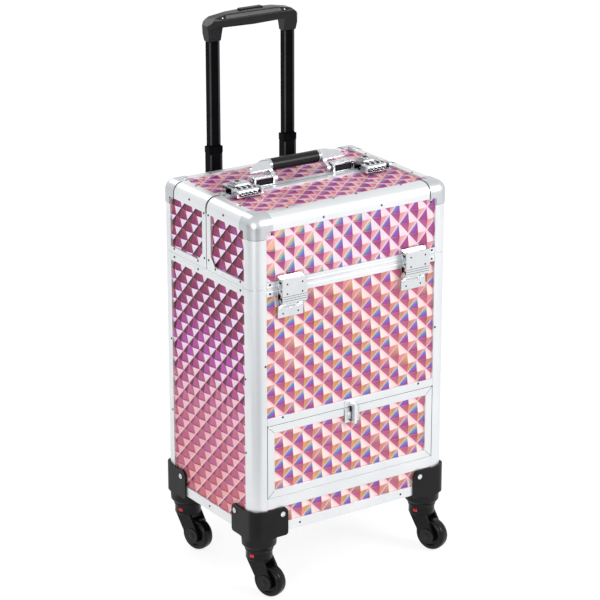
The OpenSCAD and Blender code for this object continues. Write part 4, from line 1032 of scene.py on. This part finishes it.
# Casters
def caster_trim(name, side_x, side_y, heading):
    """Hub discs and a rim under the bracket, a red brake tab, and the tread's softened edges."""
    caster = move(side_x * (HALF_W - CASTER_IN), side_y * (HALF_D - CASTER_IN), 0) @ rot("Z", heading)
    axle = caster @ move(0, -TRAIL, WHEEL_R)
    disc = [(0, 0.2), (11.4, 0.2), (12.1, 0.6), (12.1, 1.1), (11.2, 1.4), (9.6, 1.4), (9.2, 0.8), (4.6, 0.8),
            (4.2, 1.7), (2.2, 2.2), (0, 2.2)]
    rim = [(19.4, 70.4), (20.6, 70.4), (20.9, 71), (20.9, 72), (20.4, 72.6), (19.4, 72.6)]
    bm = bmesh.new()
    for side in SIDES:
        revolve(bm, disc, caster @ move(side * 14, -TRAIL, WHEEL_R) @ rot("Y", 90 * side), 40)
    revolve(bm, rim, caster, 48, closed=True)
    to_object(name + "_hub_discs", bm, (HUB,), name + "_caster", (), 0.15)
    bm = bmesh.new()
    tab = caster @ rot("Z", -66 - heading)
    rows = []
    for out, half in ((0, 3.6), (1.3, 3.4), (1.9, 2.6)):
        ring = ((-half, 62.5 + out), (half, 62.5 + out), (half, 69 - out), (-half, 69 - out))
        rows.append([tab @ Vector((x, -19.2 - out, z)) for x, z in ring])
    loft(bm, rows)
    to_object(name + "_red_tab", bm, (RED,), name + "_caster", (), 0.3)
    bm = bmesh.new()
    for side in SIDES:
        tread = [(20.4, side * 8.8), (21.2, side * 9.25), (21.8, side * 8.9), (21.4, side * 8.4)]
        revolve(bm, tread, axle @ rot("Y", 90), 64, closed=True)
    to_object(name + "_tread_edges", bm, (WHEEL,), name + "_roller")


for name, side_x, side_y, heading in (("front_left", -1, -1, 20), ("front_right", 1, -1, 20),
                                      ("back_left", -1, 1, 16), ("back_right", 1, 1, 12)):
    caster_trim(name, side_x, side_y, heading)


# Stage, light and camera
def node_from(tree, kind, *sources):
    """A node fed by other nodes' outputs."""
    made = tree.nodes.new("ShaderNode" + kind)
    for source, socket in zip(sources, made.inputs):
        tree.links.new(source, socket)
    return made


def shader(tree, kind, colour, strength=None):
    """Output of a new shader with a colour, and a strength where it has one."""
    made = node_from(tree, kind)
    made.inputs[0].default_value = (*colour, 1)
    if strength is not None:
        made.inputs[1].default_value = strength
    return made.outputs[0]


def switch(tree, lit, seen, out):
    """Shows one shader to camera, glossy and transmission rays, and the lit one to all others."""
    path = node_from(tree, "LightPath")
    is_seen = path.outputs["Is Camera Ray"]
    for other in ("Is Glossy Ray", "Is Transmission Ray"):
        larger = node_from(tree, "Math", is_seen, path.outputs[other])
        larger.operation = "MAXIMUM"
        is_seen = larger.outputs[0]
    node_from(tree, out, node_from(tree, "MixShader", is_seen, lit, seen).outputs[0])


def studio_world():
    world = bpy.data.worlds.new("studio")
    bpy.context.scene.world = world
    world.use_nodes = True
    tree = world.node_tree
    tree.nodes.clear()
    switch(tree, shader(tree, "Background", (0.96, 0.975, 1.0), 0.55),
           shader(tree, "Background", (1, 1, 1), 1.0), "OutputWorld")


def stage_plane(name, size, where):
    bm = bmesh.new()
    bmesh.ops.create_grid(bm, x_segments=1, y_segments=1, size=size)
    plane = add(name, take(bm, name))
    plane.location = where
    surface = bpy.data.materials.new(name + "_surface")
    surface.use_nodes = True
    surface.node_tree.nodes.clear()
    plane.data.materials.append(surface)
    return plane, surface.node_tree


def pale_floor():
    """A floor that looks white and keeps the object's shadow: a faint diffuse part over a glow."""
    tree = stage_plane("floor", 6.0, (0, 0, -0.0005))[1]
    plain = shader(tree, "BsdfDiffuse", (0.8, 0.8, 0.8))
    dim = shader(tree, "BsdfDiffuse", (0.3, 0.3, 0.3))
    glow = shader(tree, "Emission", (1, 1, 1), 0.84)
    switch(tree, plain, node_from(tree, "AddShader", dim, glow).outputs[0], "OutputMaterial")


def grey_card(name, where, turn, scale, tone):
    """A card outside the picture that only reflections see, as soft grey bands on rounded metal."""
    card, tree = stage_plane(name, 0.8, where)
    card.rotation_euler = [math.radians(a) for a in turn]
    card.scale = scale
    for ray in ("camera", "diffuse", "shadow", "transmission", "volume_scatter"):
        setattr(card, "visible_" + ray, False)
    node_from(tree, "OutputMaterial", shader(tree, "Emission", (tone, tone * 1.03, tone * 1.07), 1.0))


def aim(thing, direction):
    """Turns a lamp or a camera to look along a direction."""
    thing.rotation_mode = "QUATERNION"
    thing.rotation_quaternion = direction.to_track_quat("-Z", "Y")


def lamp(name, where, size, watts):
    """Round lamp that looks at the middle of the case."""
    data = bpy.data.lights.new(name, "AREA")
    data.shape = "DISK"
    data.size = size
    data.energy = watts
    made = add(name, data)
    made.location = where
    aim(made, Vector((0, 0, 0.38)) - Vector(where))


def photo_camera():
    """Camera fitted to the case's edges in the photograph, which is 600 pixels wide."""
    focal_pixels, picture_pixels = 2567.3, 600
    data = bpy.data.cameras.new("camera")
    camera = add("camera", data)
    camera.location = (-2.0329, -3.0201 + SHIFT / 1000, 1.6774)
    yaw, pitch = math.radians(33.83), math.radians(19.30)
    aim(camera, Vector((math.sin(yaw) * math.cos(pitch), math.cos(yaw) * math.cos(pitch), -math.sin(pitch))))
    data.sensor_fit = "HORIZONTAL"
    data.sensor_width = 36.0
    data.lens = focal_pixels / picture_pixels * data.sensor_width
    data.clip_start = 0.05
    data.clip_end = 50
    bpy.context.scene.camera = camera


studio_world()
pale_floor()
grey_card("floor_card", (-0.85, -1.27, 0.004), (0, 0, -33.8), (0.95, 1.25, 1), 0.3)
grey_card("left_card", (-1.7, 0.1, 0.42), (0, 90, 0), (0.55, 1.5, 1), 0.38)
lamp("key", (1.6, -2.6, 1.9), 1.4, 46)
lamp("side", (-2.4, -1.7, 0.9), 1.6, 33)
lamp("back", (-0.3, 2.6, 2.4), 1.4, 12)
photo_camera()
bpy.context.scene.view_settings.view_transform = "Standard"
